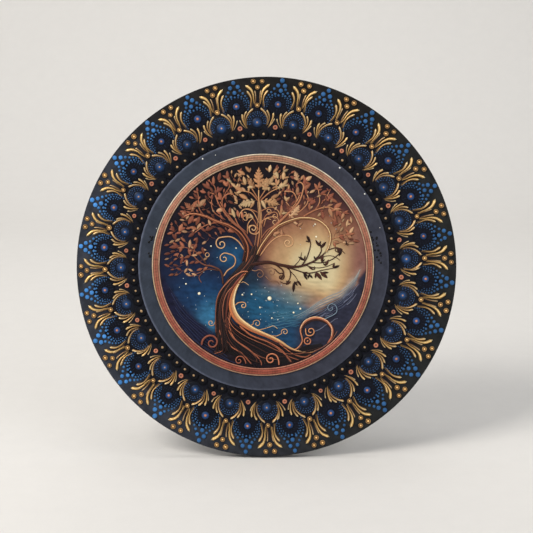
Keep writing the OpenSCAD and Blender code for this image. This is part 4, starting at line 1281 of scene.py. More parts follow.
        parts = boughs([
            ([(-4.6, 12), (-2.7, 25.4), (-2.2, 37.3), (-3.3, 52.7), (-3.3, 59.3)], 0.75, 0.5),
            ([(-7.5, 10), (-5.2, 24), (-3.6, 38), (-4.1, 50)], 0.32, 0.25),
            ([(-2.5, 12), (-1.2, 25), (-1.1, 38), (-2.4, 50)], 0.32, 0.25),
            ([(-3, 27), (-6.2, 34), (-9.4, 38.4), *curl(-13.4, 36.8, 3.8, 0.9, 20, 1.2)], 0.4, 0.3),
            ([(-2, 29), (1.6, 38), (5.4, 41.4), *curl(9.2, 38.6, 3.6, 0.9, 140, -1.2)], 0.4, 0.3),
            ([(-2.2, 20), (3.4, 27.4), (8.2, 30), *curl(9.6, 26.6, 3.2, 0.8, 100, -1.2)], 0.4, 0.3),
            ([(-3.5, 50), (-9.8, 56.9), (-17.6, 58.7), (-22, 61.6)], 0.6, 0.4),
            ([(-2.6, 50), (5, 56.9), (12, 60.4), (18, 62.5)], 0.6, 0.4),
            ([(-3.7, 52), (-9.3, 61), (-10.5, 63)], 0.5, 0.4),
            ([(-2.7, 52), (2.6, 60.4), (4, 62.6)], 0.5, 0.4),
            ([(-3.9, 41.4), (-12.3, 44.4), (-17.6, 41.4), (-18.8, 37.3)], 0.5, 0.3),
            ([(-2.2, 42), (5.8, 45.6), (11.6, 43), (13.8, 38.4)], 0.5, 0.3),
            ([(-6.5, 24.4), (-4.5, 28.3), (-7, 31), (-10.6, 30.6), (-11, 28.4)], 0.6, 0.4),
            ([(-12.3, 24), (-11.7, 32.5), (-7.5, 37.3)], 0.5, 0.3),
            ([(0.6, 30), (2.6, 36.4), (6.4, 35.6)], 0.5, 0.3),
        ], 1.0, (150, 92, 62), (216, 168, 116), 1.1)
        self.piece(shop, "crown_stem_strands", parts, "stem_tan", "crown_stem")

    def branches(self, shop: Workshop) -> None:
        """The low brown branches at left and the dark ones that stand against the glow at right."""
        parts = boughs([
            ([(-31.4, -16), (-33.1, -5.4), (-39.6, -1.3), (-47.3, 0.5), (-54.4, 6.8), (-53.9, 12.5)], 1.1, 0.4),
            ([(-44.6, 0.6), (-50.6, 8.4), (-57, 12.4), (-66, 15)], 0.7, 0.3),
            ([(-34.2, -4.6), (-43.4, -3.4), (-50.9, -6.6), (-57.4, -9)], 0.7, 0.3),
            ([(-45.4, -4), (-50.4, -9.4), (-48.6, -14)], 0.5, 0.3),
        ], 0.8, (62, 38, 32), (150, 92, 68), 1.0)
        self.piece(shop, "low_branch_strands", parts, "branch_brown", "low_branches")
        parts = boughs([
            ([(-12, 0), (-8, 0.6), (4, 2), (14.4, -0.2), (28.1, -1.4), (41.1, 3.4), (50.1, 10.5)], 1.9, 0.5),
            ([(12, 0), (23.3, -3.1), (35.2, -6.6), (47.1, -4.2), (58, -2.2)], 0.7, 0.3),
            ([(30, -1.2), (34.6, 5.6), (37.6, 16.5), (35.2, 22.4)], 0.6, 0.3),
            ([(42, 4), (45.9, 10.5), (45.6, 14), (43.6, 17.6)], 0.6, 0.3),
            ([(51.2, 11.6), (59, 13.5), (64.9, 8.7)], 0.5, 0.3),
            ([(8.6, 1), (15.6, -4.2), (15.6, -9), (13.4, -10.8)], 0.6, 0.7),
            ([(16.2, -0.6), (21.5, -4.8), (20.9, -11.4), (17.4, -14.7), (13.4, -13.2)], 0.6, 0.3),
            ([(20.6, -4), (25, -8.6), (27.4, -12)], 0.4, 0.3),
            ([(9, -3), *curl(14.4, -9.6, 3.4, 0.9, 120, -1.2)], 0.45, 0.4),
            ([(38, 2), (46, 1.6), (54, 4), (60, 8.6), *curl(58.4, 11.4, 2.6, 0.8, -30, 1.0)], 0.45, 0.35),
            ([(44, 4.6), (50, 7), (56, 6.6), (61, 3.4)], 0.35, 0.3),
            ([(34, -0.6), (42, -2.4), (50, -1.4), (57, 1.6)], 0.4, 0.3),
            ([(24, -1.6), (29, 4), (30.6, 10)], 0.35, 0.25),
        ], 1.0, (58, 30, 24), (66, 36, 26), 1.0)
        parts += boughs([
            ([(-9, -4), *curl(-2.6, -7.6, 4.4, 1.0, 140, -1.3)], 0.4, 0.3),
            ([(0, -1.6), *curl(6.4, -5.8, 4.2, 1.0, 130, -1.2)], 0.4, 0.3),
            ([(2, -9), (6, -12.6), (10.6, -12.8), (13, -15.4)], 0.4, 0.3),
        ], 1.0, (150, 110, 84), (112, 78, 62), 0.8)
        self.piece(shop, "dark_branch_strands", parts, "branch_umber", "dark_branches")

    def roots(self, shop: Workshop) -> None:
        """The roots flowing right in long curves, and the scrolls that curl up from them."""
        mass = [(-30, -55, 8), (-24, -60, 10), (-10, -66, 10), (6, -70, 9), (22, -73, 6), (38, -73, 4), (50, -67, 1.5)]
        parts = [Strand(within(np.array(mass, float), 80.2), 0.55, (20, 15, 17), (22, 17, 20), across=11,
                        steps=50).surface()]
        flows = [
            ([(-25.4, -37), (-26.5, -48.2), (-21.8, -58.9), (-11.7, -66.1), (-2.7, -74.4), (-1, -79.4)], 0.8, 0.5),
            ([(-18.6, -48), (-9, -55.6), (4, -60.8), (14, -66.6), (19.6, -73), (22.4, -76.4)], 0.9, 0.5),
            ([(13, -62), (23.3, -70), (33, -72.6), (38, -70.4)], 0.6, 0.4),
            ([(8, -62.6), (18, -71), (28, -75)], 0.5, 0.4),
            ([(-29.6, -55), (-25.9, -63.7), (-17.6, -69), (-12.3, -74.4), (-8.7, -78.8)], 0.8, 0.5),
            ([(-34.6, -50), (-32.4, -60), (-31.8, -67.4), (-38.4, -70)], 0.8, 0.4),
        ]
        rng = np.random.default_rng(5)
        for n, (points, first, last) in enumerate(flows):
            parts.append(bough(points, 0.75 * first, last, (178, 104, 72), (140, 80, 58), 0.7, 0.45))
            for m in range(4):
                dx, dy = rng.uniform(-2.6, 2.6), rng.uniform(-2.6, 1.6)
                near = [(x + dx * (0.4 + 0.25 * i), y + dy * (0.4 + 0.2 * i)) for i, (x, y) in enumerate(points)]
                ink = [((60, 36, 31), (50, 31, 29)), ((34, 23, 24), (30, 21, 24)), ((132, 78, 56), (98, 58, 46)),
                       ((28, 20, 22), (28, 20, 24))][(n + m) % 4]
                parts.append(bough(near, first * rng.uniform(0.35, 0.7), 0.8 * last, ink[0], ink[1], 0.7,
                                   rng.uniform(0.1, 0.4)))
        high = np.array([(-27, -40), (-22, -47.5), (-10, -54.5), (8, -61), (28, -68.5), (50, -66)])
        low = np.array([(-31, -44), (-29.5, -54), (-27, -62), (-21, -70), (-14, -75.5), (-8, -79)])
        for k in range(10):
            points = [tuple(p) for p in high + (low - high) * k / 9]
            foot, tip = [((92, 54, 42), (58, 36, 31)), ((30, 21, 23), (26, 19, 22)), ((172, 106, 74), (128, 76, 56)),
                         ((40, 26, 26), (34, 23, 25))][k % 4]
            parts.append(bough(points, 0.36, 0.26, foot, tip, 0.6, 0.66 + 0.02 * k))
        self.piece(shop, "root_strands", parts, "root_copper", "roots")
        hook = [(20, -65.4, 0.5), (26, -66.4, 0.6), (31, -60.1, 0.7), (29.6, -51.2, 0.9), (33.4, -44.7, 1.2),
                (41.1, -41.7, 1.4), (49.5, -43.9, 1.4), (54.4, -50, 1.3), (54.2, -56.8, 1.1), (51, -61.9, 0.8)]
        shade = [(x + 0.6, y - 0.9, w * 1.3) for x, y, w in hook]
        parts = [Strand(shade, 0.5, (52, 30, 30), (60, 36, 32), across=5, steps=50).surface(),
                 Strand([(x, y, 0.8 * w) for x, y, w in hook], 1.2, (190, 124, 88), (172, 98, 70), across=7,
                        steps=60).surface(),
                 Strand([(x - 0.3, y + 0.7, 0.3) for x, y, w in hook[3:9]], 0.5, (240, 196, 150), (236, 190, 150),
                        across=5, steps=40, base=0.95).surface()]
        for points, first, last, ink in [
            ([(33.6, -50), *curl(37.6, -52.2, 4.3, 1.0, 215, 1.25)], 0.55, 0.45, (206, 140, 96)),
            (curl(35.2, -60.1, 2.7, 2.3, 70, 0.98), 0.6, 0.6, (186, 116, 82)),
            (curl(35.2, -60.1, 0.5, 0.3, 0, 0.9), 0.4, 0.4, (196, 130, 92)),
            ([(-49, -64), *curl(-40.5, -61.5, 7.2, 1.4, 160, -1.4)], 1.0, 0.55, (136, 76, 58)),
            ([(12.6, -79), *curl(6.2, -74.6, 6.2, 1.0, -8, 1.45)], 0.7, 0.6, (190, 118, 84)),
            ([(-13.4, -78), *curl(-18.8, -75.6, 4.8, 0.8, 0, 1.4)], 0.55, 0.45, (158, 92, 68)),
            ([(46.5, -43.5), (54, -40.2), *curl(53.6, -34.2, 5.4, 1.0, -40, 1.3)], 0.4, 0.35, (120, 138, 152)),
            ([(40, -68), (48, -66), (55, -60), (58.6, -52)], 0.5, 0.3, (120, 80, 66)),
        ]:
            parts.append(bough(points, 0.9 * first, 0.9 * last, ink, ink, 0.9, 0.8))
        self.piece(shop, "root_scroll_strands", parts, "scroll_copper", "root_scrolls")

    def tendrils(self, shop: Workshop) -> None:
        """The fine curling tendrils beside the trunk."""
        foot, tip = (196, 142, 98), (226, 184, 136)
        parts = []
        for points, first, last in [
            ([(-12, 7), (-15.5, 13), (-19.6, 18.6), (-25, 22), (-31, 22), *curl(-32.6, 16.4, 5.2, 1.2, 118, 1.3)],
             0.75, 0.5),
            ([(-31, -9), (-28, -4.5), (-23.2, -1), (-21.6, 3.4), (-23.4, 7.2), *curl(-30.6, 4.9, 4.6, 1.0, 70, 1.2)],
             0.7, 0.45),
            (curl(-43.9, 7.9, 1.7, 1.5, 30, 0.97), 0.4, 0.4),
            ([(-2.4, 7), (4.1, 15.9), (11, 21.7), (18, 23.4), *curl(19.6, 17.6, 5.1, 1.1, 62, -1.35)], 0.65, 0.5),
            ([(-22, -32), (-19.6, -30), *curl(-15.6, -32.2, 2.9, 0.8, 110, -1.15)], 0.6, 0.5),
            ([(-19, -14.6), (-15.2, -13.5), (-11.1, -16.1)], 0.45, 0.25),
            ([(-9.9, -47.9), (-7.9, -46.8), *curl(-4.6, -46.4, 3.3, 0.9, 150, -1.1)], 0.4, 0.4),
            ([(-9.3, -49.6), (-3.3, -51.2), (4.3, -49.4), (8.2, -48.2), (11.6, -50.4)], 0.4, 0.3),
            ([(4.9, -55.4), (10.2, -56.2), (14.6, -54.2), *curl(17.4, -53, 2.9, 0.9, 170, -1.15)], 0.45, 0.35),
            ([(-37.2, -41), (-37.6, -44.6), *curl(-41, -45.6, 3.1, 0.8, 0, -1.2)], 0.45, 0.35),
            ([(-2.6, 27), (-4.6, 24.6), *curl(-7.6, 28.6, 4.4, 1.0, -80, -1.3)], 0.6, 0.45),
            (curl(4.4, 42.4, 2.7, 0.8, 250, 1.2), 0.4, 0.35),
            ([(-3, 33), (-8, 42), (-14, 44), *curl(-14.5, 40.4, 3.6, 1.0, 90, 1.1)], 0.45, 0.3),
            ([(-2.4, 33), (3, 37), (9, 38), *curl(9.4, 34, 3.8, 1.0, 80, -1.1)], 0.45, 0.3),
        ]:
            parts.append(bough(points, 0.8 * first, 0.8 * last, foot, tip, 1.0))
        self.piece(shop, "tendril_strands", parts, "tendril_cream", "tendrils", finish=RAISED_PAINT)

    def leaves(self, shop: Workshop) -> None:
        """All the leaf groups: copper at left, tan at right, cream in the crown, dark against the glow."""
        for group in LEAF_GROUPS:
            self.piece(shop, group.name, [group.surface()], group.slot, group.node)

    def stars(self, shop: Workshop) -> None:
        """The named stars, and a seeded dust of small ones over the blue."""
        rng = np.random.default_rng(19)
        big = np.array([
            (-50.3, -22.6, 1.3), (5.2, -26.5, 1.9), (-60.7, -15, 0.8), (-16.2, -23.6, 0.8), (-9, -23.2, 0.8),
            (-2.4, -33.6, 0.8), (29.5, -34.6, 0.9), (24.2, -37.6, 0.9), (7, -42, 0.7), (11.8, -43.2, 0.6),
            (27.6, -30.4, 0.7), (-21.2, 13.2, 0.7), (41.2, 32, 0.8), (42, 22.2, 0.9), (-41, 14.8, 0.7)])
        around = np.concatenate([rng.normal((4, -32), (13, 9), (42, 2)), rng.normal((-52, -20), (11, 15), (26, 2)),
                                 rng.normal((40, 24), (14, 14), (14, 2))])
        small = np.concatenate([around, rng.uniform(0.2, 0.42, (len(around), 1))], -1)
        edge, left = 78, -66
        spots = np.concatenate([big, small[(np.hypot(small[:, 0], small[:, 1]) < edge) & (small[:, 0] > left)]])
        cream, pale_blue = linear((240, 230, 200)), linear((196, 206, 208))
        ink = np.where(spots[:, 2:] > 0.6, cream, pale_blue)
        layer = drops(DropShape.BEAD, spots[:, :2], spots[:, 2], 0.25 + 0.3 * spots[:, 2], ink, sides=8)
        self.piece(shop, "star_drops", [layer], "star_cream", "stars", finish=RAISED_PAINT)


LEAF_GROUPS = [
    Foliage("left_leaf_relief", "leaf_copper", "left_leaves", [
        (-54, 42, 138, 13), (-51.5, 57, 96, 7), (-51, 52, 130, 6), (-50.5, 46, 48, 8), (-60, 40.5, 160, 6),
        (-58, 40, 205, 7), (-62, 38, 150, 6), (-55, 39, 240, 8), (-50, 38.5, 250, 8), (-49, 33, 238, 6),
        (-54, 25.4, 215, 6), (-52, 28, 160, 6), (-66, 15, 190, 8), (-62, 14, 130, 6), (-58, 13, 85, 7),
        (-55, 12, 60, 6), (-64, 14.6, 250, 5), (-59, 12.6, 290, 6), (-68, 20, 130, 6), (-70, 26, 115, 6),
        (-66, 26, 70, 7), (-72, 32, 120, 6), (-43.5, 67, 120, 6), (-39, 63, 90, 7), (-41, 60, 150, 8),
        (-37.4, 57, 35, 7), (-45, 57, 165, 5), (-27.7, 67.4, 95, 7), (-28, 62, 130, 6), (-26, 61, 40, 5),
        (-35, 66, 80, 7), (-33, 51, 105, 7), (-37, 42, 20, 7), (-40.4, 51, 85, 5), (-46, 46, 110, 5),
        (-46, 27, 20, 7), (-36, 29, 335, 7), (-28, 27.4, 345, 6), (-52, 22, 265, 6), (-48, 14, 285, 6),
        (-63, 6, 250, 6), (-66, 9, 200, 5), (-60, 4, 270, 5),
    ], ((184, 116, 84), (152, 88, 66), (208, 158, 118), (170, 102, 76), (132, 74, 58)), 61, slim=0.25,
            spacing=3.6, side=-1),
    Foliage("right_leaf_relief", "leaf_tan", "right_leaves", [
        (44, 60, 82, 8), (43.6, 59, 120, 6), (45, 55, 35, 7), (42, 50, 165, 9), (50, 50, 48, 13),
        (52.4, 57.6, 70, 6), (56, 44, 40, 8), (62.5, 41.4, 350, 6), (59, 43, 300, 8), (52, 45, 290, 8),
        (46, 44, 280, 9), (62, 36, 70, 6), (66, 30, 80, 6), (68, 24, 60, 7), (65, 23.6, 10, 8),
        (60, 23, 320, 6), (56, 30, 75, 7), (58, 34, 110, 6), (34.6, 55, 100, 6), (31.6, 59, 40, 8),
        (31.6, 63, 60, 8), (33, 66, 35, 8), (27, 55, 85, 7), (20.5, 36.5, 50, 15), (37, 43, 95, 6),
        (28, 66, 110, 9), (26, 68, 160, 5), (22, 60, 200, 5), (15, 22, 95, 6), (27, 30, 40, 6),
        (8, 24, 20, 6), (24, 34, 330, 5), (55, 18, 355, 6), (70, 33, 100, 5),
    ], ((196, 140, 102), (176, 110, 80), (214, 168, 126), (164, 96, 72), (146, 84, 64)), 62, slim=0.25,
            spacing=3.5, side=1),
    Foliage("crown_leaf_relief", "leaf_cream", "crown_leaves", [
        (-3.3, 59.3, 90, 18), (-6, 50.6, 196, 14), (0, 50.8, 346, 14), (-12, 52, 152, 8), (6, 52, 28, 8),
        (-6, 60, 128, 11), (-0.5, 60, 52, 11), (-15, 58.4, 160, 8), (-21, 61, 140, 6), (-13.6, 63, 105, 7),
        (-10.5, 62.6, 80, 6),
        (11, 60, 30, 9), (16, 62, 60, 7), (4, 62, 100, 7), (5, 63, 65, 8), (-14, 71, 150, 7), (-10, 73, 130, 6),
        (5, 73, 80, 6), (8, 72, 50, 7), (12, 68, 110, 7), (16, 67, 85, 7), (-22, 37, 110, 8), (-13, 36, 70, 5),
        (-7.5, 36.6, 130, 5), (14, 39, 80, 7), (-20, 49, 120, 5), (19, 50, 115, 5),
    ], ((216, 172, 124), (204, 154, 108), (192, 138, 96), (224, 188, 140)), 63, slim=0.23, base=0.15,
            spacing=4.0),
    Foliage("dark_leaf_relief", "leaf_dark", "dark_leaves", [
        (27, -12, 305, 6), (24.6, -13.6, 265, 8), (22, -13, 215, 5), (32, -6.8, 300, 6), (36, -7, 312, 5),
        (31, -5.4, 320, 6), (42, -5.6, 305, 8), (45, -5.4, 320, 8), (40, -4, 150, 5), (55, -2.6, 20, 6),
        (33, 3.4, 150, 6), (45.4, 13, 50, 7), (44.4, 14.6, 120, 6), (41, 2.6, 60, 5), (62, 12.4, 250, 6),
        (59, 14, 285, 6), (66, 15.6, 100, 4), (37.4, 18, 120, 6), (46, 2.4, 75, 6), (49, -1, 60, 6),
    ], ((56, 30, 24), (46, 24, 20), (78, 44, 32)), 64, slim=0.17),
]


# ---------------------------------------------------------------- rim


@dataclass(frozen=True)
class RimRow:
    """Places laid by hand round the rim. The rows drift left and up towards the middle of the disc."""

    count: int = 24
    first: float = 5.5
    creep: float = 1.0
    edge: float = 150.0
    reach: float = 38.0
    drift: tuple[float, float] = ROW_CENTRE

    def around(self, points: Array, part: float = 0.0, unrest: float = 0.25, seed: int = 1) -> Array:
        """Turns points round the rim.

        Args:
            points: (m, 2) or (m, 3) places at the top of the disc, y measured from its middle.
            part: share of a pitch to turn further, clockwise.
            unrest: how many degrees a repeat may stray.
            seed: picks the straying.

        Returns:
            (count, m, same) places: each turned by its own angle, which creeps ahead at the lower left and falls
            behind opposite, then moved by the row's drift.
        """
        rng = np.random.default_rng(seed)
        even = (np.arange(self.count) + part) * 360 / self.count
        turn = np.radians(self.first + even + self.creep * np.cos(np.radians(even - 220)))
        turn = turn + np.radians(rng.uniform(-unrest, unrest, self.count))
        s, c = np.sin(turn)[:, None], np.cos(turn)[:, None]
        p = np.asarray(points, float)
        x, y = p[None, :, 0], p[None, :, 1]
        share = np.clip((self.edge - np.hypot(x, y)) / self.reach, 0, 1)
        flat = np.stack([x * c + y * s + self.drift[0] * share, y * c - x * s + self.drift[1] * share], axis=-1)
        rest = np.broadcast_to(p[None, :, 2:], (self.count, len(p), p.shape[1] - 2))
        return np.concatenate([flat, rest], axis=-1)


@dataclass
class DotSet:
    """Dots of one flower: places, radii and linear colours, gathered arc by arc. Its first number brightens them
    towards the left of the disc as painted light.
    """

    painted_left_light: float = 0.0
    places: list[Array] = field(default_factory=list)
    radii: list[Array] = field(default_factory=list)
    inks: list[Array] = field(default_factory=list)

    def arc(self, centre: float, angles: Array, reach: Array, radius: Array, inks: Array) -> None:
        """Adds a pair of dots at each angle from the flower's axis, left and right, and one where it is 0."""
        a = np.radians(np.asarray(angles, float))
        for side in (1, -1):
            keep = (a > 0) | (side > 0)
            xy = np.stack([side * reach * np.sin(a), centre + reach * np.cos(a)], -1)
            self.places.append(xy[keep])
            self.radii.append(np.broadcast_to(radius, a.shape)[keep])
            self.inks.append(np.broadcast_to(inks, (len(a), 3))[keep])

    def add(self, places: Array, radii: Array, ink: Colour) -> "DotSet":
        """Adds dots one by one, all of one colour, and returns the set."""
        places = np.asarray(places, float)
        self.places.append(places)
        self.radii.append(np.broadcast_to(np.asarray(radii, float), (len(places),)))
        self.inks.append(np.broadcast_to(linear(ink), (len(places), 3)))
        return self

    def laid(self, row: RimRow, part: float, shape: DropShape, tall: float, seed: int, sides: int = 8) -> Surface:
        """Lays the flower's dots all round the rim, each a little off its place, size and tone, and brightened towards
        the left as painted light.
        """
        rng = np.random.default_rng(seed)
        xy = row.around(np.concatenate(self.places), part, seed=seed).reshape(-1, 2)
        n = row.count
        radius = np.tile(np.concatenate(self.radii), n) * rng.uniform(0.9, 1.08, len(xy))
        xy = xy + rng.normal(0, 0.12, xy.shape)
        far = np.hypot(xy[:, 0], xy[:, 1]) + radius
        xy = xy * np.minimum(1, DOT_LIMIT / far)[:, None]
        ink = np.tile(np.concatenate(self.inks), (n, 1)) * rng.uniform(0.82, 1.18, (len(xy), 1))
        # painted light: dots towards the left of the disc are brightened
        ink = ink * (1 + self.painted_left_light * ease(20, 140, -xy[:, :1]))
        return drops(shape, xy, radius, tall * radius, ink, sides=sides)


@dataclass
class RimFlowers:
    """The dot flowers: a tall outer one on each axis, and a round inner one between each two."""

    row: RimRow
    eye: float = 127.4
    inner_eye: float = 112.5
    tip: Colour = (46, 92, 140)
    side: Colour = (44, 84, 124)
    low: Colour = (38, 68, 102)
    deep: Colour = (24, 34, 56)

    def build(self, shop: Workshop) -> None:
        """Makes the outer flowers, then the inner ones."""
        self.outer(shop)
        self.inner(shop)

    def outer(self, shop: Workshop) -> None:
        """Tip dots, three arcs of petal dots that shrink away from the tip, fine rings and the eye."""
        hue: Stops = [(0, self.tip), (40, self.side), (90, self.low), (120, self.low)]
        wash = DotSet().add([(0, self.eye + 0.8)], [9.6], (14, 16, 25))
        layer = wash.laid(self.row, 0, DropShape.WASH, 0.015, 104, sides=30)
        shop.add(layer, "outer_flower_wash", CLAY_BLACK, "black_clay")
        tips = DotSet(1.1).add([(0, 147.2), (-2.8, 143.1), (2.8, 143.1), (0, 138.9)], [1.9, 1.8, 1.8, 1.75], self.tip)
        layer = tips.laid(self.row, 0, DropShape.BUTTON, 0.5, 101, sides=14)
        shop.add(layer, "flower_tip_drops", RAISED_PAINT, "blue_bright", "flower_tip_dots")
        petals = DotSet(0.7)
        far = np.array([20, 34, 48, 61, 73, 84, 95, 105, 115.0])
        petals.arc(self.eye, far, 10.3 + 3.0 * np.exp(-(far - 20) / 22), 0.6 + 0.75 * np.exp(-(far - 20) / 40),
                   ramp(hue, far))
        mid = np.array([19, 36, 52, 66, 79, 91, 103.0])
        petals.arc(self.eye, mid, np.full(7, 9.3) - 0.008 * mid, 0.55 + 0.65 * np.exp(-(mid - 19) / 40), ramp(hue, mid))
        near = np.array([0, 22, 42, 60, 77, 93.0])
        petals.arc(self.eye, near, 7.7 - 0.006 * near, 0.5 + 0.5 * np.exp(-near / 35), ramp(hue, near + 15))
        for reach, count in ((6.2, 20), (5.0, 16), (4.0, 13)):
            petals.arc(self.eye, np.linspace(0, 180, count // 2), reach, 0.34, linear(self.deep))
        layer = petals.laid(self.row, 0, DropShape.BEAD, 0.55, 102, sides=8)
        shop.add(layer, "flower_petal_drops", RAISED_PAINT, "blue_petal", "flower_petal_dots")
        eyes = DotSet().add([(0, self.eye)], [3.1], (30, 60, 104))
        layer = eyes.laid(self.row, 0, DropShape.GLOW, 0.3, 103, sides=22)
        shop.add(layer, "flower_eye_drops", RAISED_PAINT, "blue_eye", "flower_eyes")
        beads = DotSet().add([(0, self.eye)], [1.15], (186, 120, 88))
        layer = beads.laid(self.row, 0, DropShape.BEAD, 0.6, 103, sides=12).shifted((0, 0, 0.85))
        shop.add(layer, "flower_eye_bead_drops", RAISED_PAINT, "copper_bead", "flower_eye_beads")

    def inner(self, shop: Workshop) -> None:
        """A navy wash, three arcs of fine dots, and a broad eye with its brighter ring and copper bead."""
        c = self.inner_eye
        wash = DotSet().add([(0, c + 1.6)], [8.2], (11, 16, 28))
        layer = wash.laid(self.row, 0.5, DropShape.WASH, 0.02, 111, sides=30)
        shop.add(layer, "inner_flower_wash", RAISED_PAINT, "navy")
        petals = DotSet()
        for rise, (first, last, pitch), reach, radius, ink in [
            (1.0, (0, 105, 13.0), 7.8, 0.42, (66, 102, 146)),
            (0.8, (0, 110, 18.0), 6.4, 0.55, (46, 80, 126)),
            (0.5, (9, 110, 24.0), 5.2, 0.5, (42, 74, 118)),
        ]:
            petals.arc(c + rise, np.arange(first, last, pitch), reach, radius, linear(ink))
        layer = petals.laid(self.row, 0.5, DropShape.BEAD, 0.7, 112, sides=8)
        shop.add(layer, "inner_petal_drops", RAISED_PAINT, "navy", "inner_petal_dots")
        eyes = DotSet().add([(0, c)], [4.3], (18, 38, 68))
        rings = DotSet().add([(0, c)], [2.7], (30, 62, 104))
        beads = DotSet().add([(0, c)], [0.85], (176, 136, 112))
        layer = Surface.joined([
            eyes.laid(self.row, 0.5, DropShape.GLOW, 0.21, 113, sides=24),
            rings.laid(self.row, 0.5, DropShape.GLOW, 0.1, 113, sides=18).shifted((0, 0, 0.82)),
        ])
        shop.add(layer, "inner_eye_drops", RAISED_PAINT, "blue_deep", "inner_flower_eyes")
        layer = beads.laid(self.row, 0.5, DropShape.BEAD, 0.6, 113, sides=12).shifted((0, 0, 1.0))
        shop.add(layer, "inner_eye_bead_drops", RAISED_PAINT, "copper_bead", "inner_eye_beads")


@dataclass
class GoldStrokes:
    """The gold teardrop strokes: a fan near the edge and arches over the inner flowers, in mirrored pairs."""

    row: RimRow
    gold: Colour = (240, 190, 108)
    light: Colour = (255, 240, 194)
    shadow: Colour = (104, 74, 42)
    tall: float = 1.25
    dim: float = 0.62

    def pairs(self, strokes: list[tuple[list[tuple[float, float]], float, float, Colour]], seed: int) -> Surface:
        """Lays strokes in mirrored pairs at every half pitch.

        Args:
            strokes: (points from head to tail, head radius, tail radius, colour) of the right-hand strokes.
            seed: picks the straying of each axis.

        Returns:
            All the strokes: a half-round body that swells at its head and thins to its tail.
        """
        parts = []
        for n, (points, head, tail, ink) in enumerate(strokes):
            k = len(points)
            swell = np.interp(np.linspace(0, 1, k), [0, 0.12, 0.45, 1], [1, 0.98, 0.62, tail / head])
            path = [(x, y, head * w) for (x, y), w in zip(points, swell)]
            dark = tuple(int(v * self.dim) for v in ink)
            # painted light: one side of each stroke is darkened to two thirds as painted shade, and a pale line along
            # its crest is a painted highlight; a fine line in the shadow colour runs beside it
            side = tuple(int(v * 0.66) for v in ink)
            unit = Strand(path, self.tall, ink, dark, left=side, across=7, steps=14).surface()
            fine = [(x - 0.75 * head, y - 0.5 * head, 0.22) for x, y, _ in path[1:]]
            lit = [(x + 0.1 * w, y + 0.1 * w, 0.32 * w) for x, y, w in path[: k - 1]]
            extra = [Strand(fine, 0.4, self.shadow, dark, across=3, steps=8).surface(),
                     Strand(lit, 0.3, self.light, ink, across=3, steps=9,
                            base=0.85 * min(self.tall, 1.1 * head)).surface()]
            unit = Surface.joined([unit, *extra])
            both = Surface.joined([unit, unit.mirrored()])
            parts.append(both.repeated(self.row.around(both.points, 0.5, 0.3, seed + n)))
        return Surface.joined(parts)

    def build(self, shop: Workshop) -> None:
        """Makes the fan, then the arches."""
        g = self.gold
        fan = self.pairs([
            ([(9.6, 143.2), (5.3, 139.8), (3.45, 135.3), (3.1, 131.8), (2.2, 127.2)], 1.3, 0.25, g),
            ([(8.3, 138.4), (5.7, 134.7), (4.8, 130.9), (5.8, 124.6)], 1.12, 0.25, (222, 172, 102)),
            ([(2.4, 138.6), (1.8, 134.4), (1.9, 131.0), (2.6, 127.6)], 0.72, 0.3, (166, 124, 82)),
        ], 201)
        shop.add(fan, "fan_gold_strokes", GOLD_PAINT, "gold_stroke", "fan_strokes")
        arch = self.pairs([
            ([(2.9, 124.1), (5.9, 121.4), (8.0, 117.8), (8.7, 114.5), (8.2, 110.2)], 1.0, 0.2, (204, 156, 96)),
            ([(8.0, 122.1), (9.5, 119.3), (10.0, 115.6), (8.6, 110.2)], 1.0, 0.2, (204, 158, 98)),
            ([(12.3, 119.7), (12.2, 116.7), (11.0, 112.8), (8.6, 108.3)], 1.05, 0.2, (234, 182, 106)),
            ([(13.8, 115.0), (12.3, 112.0), (9.2, 108.5)], 0.65, 0.2, (214, 178, 126)),
        ], 211)
        shop.add(arch, "arch_gold_strokes", GOLD_PAINT, "gold_arch", "arch_strokes")


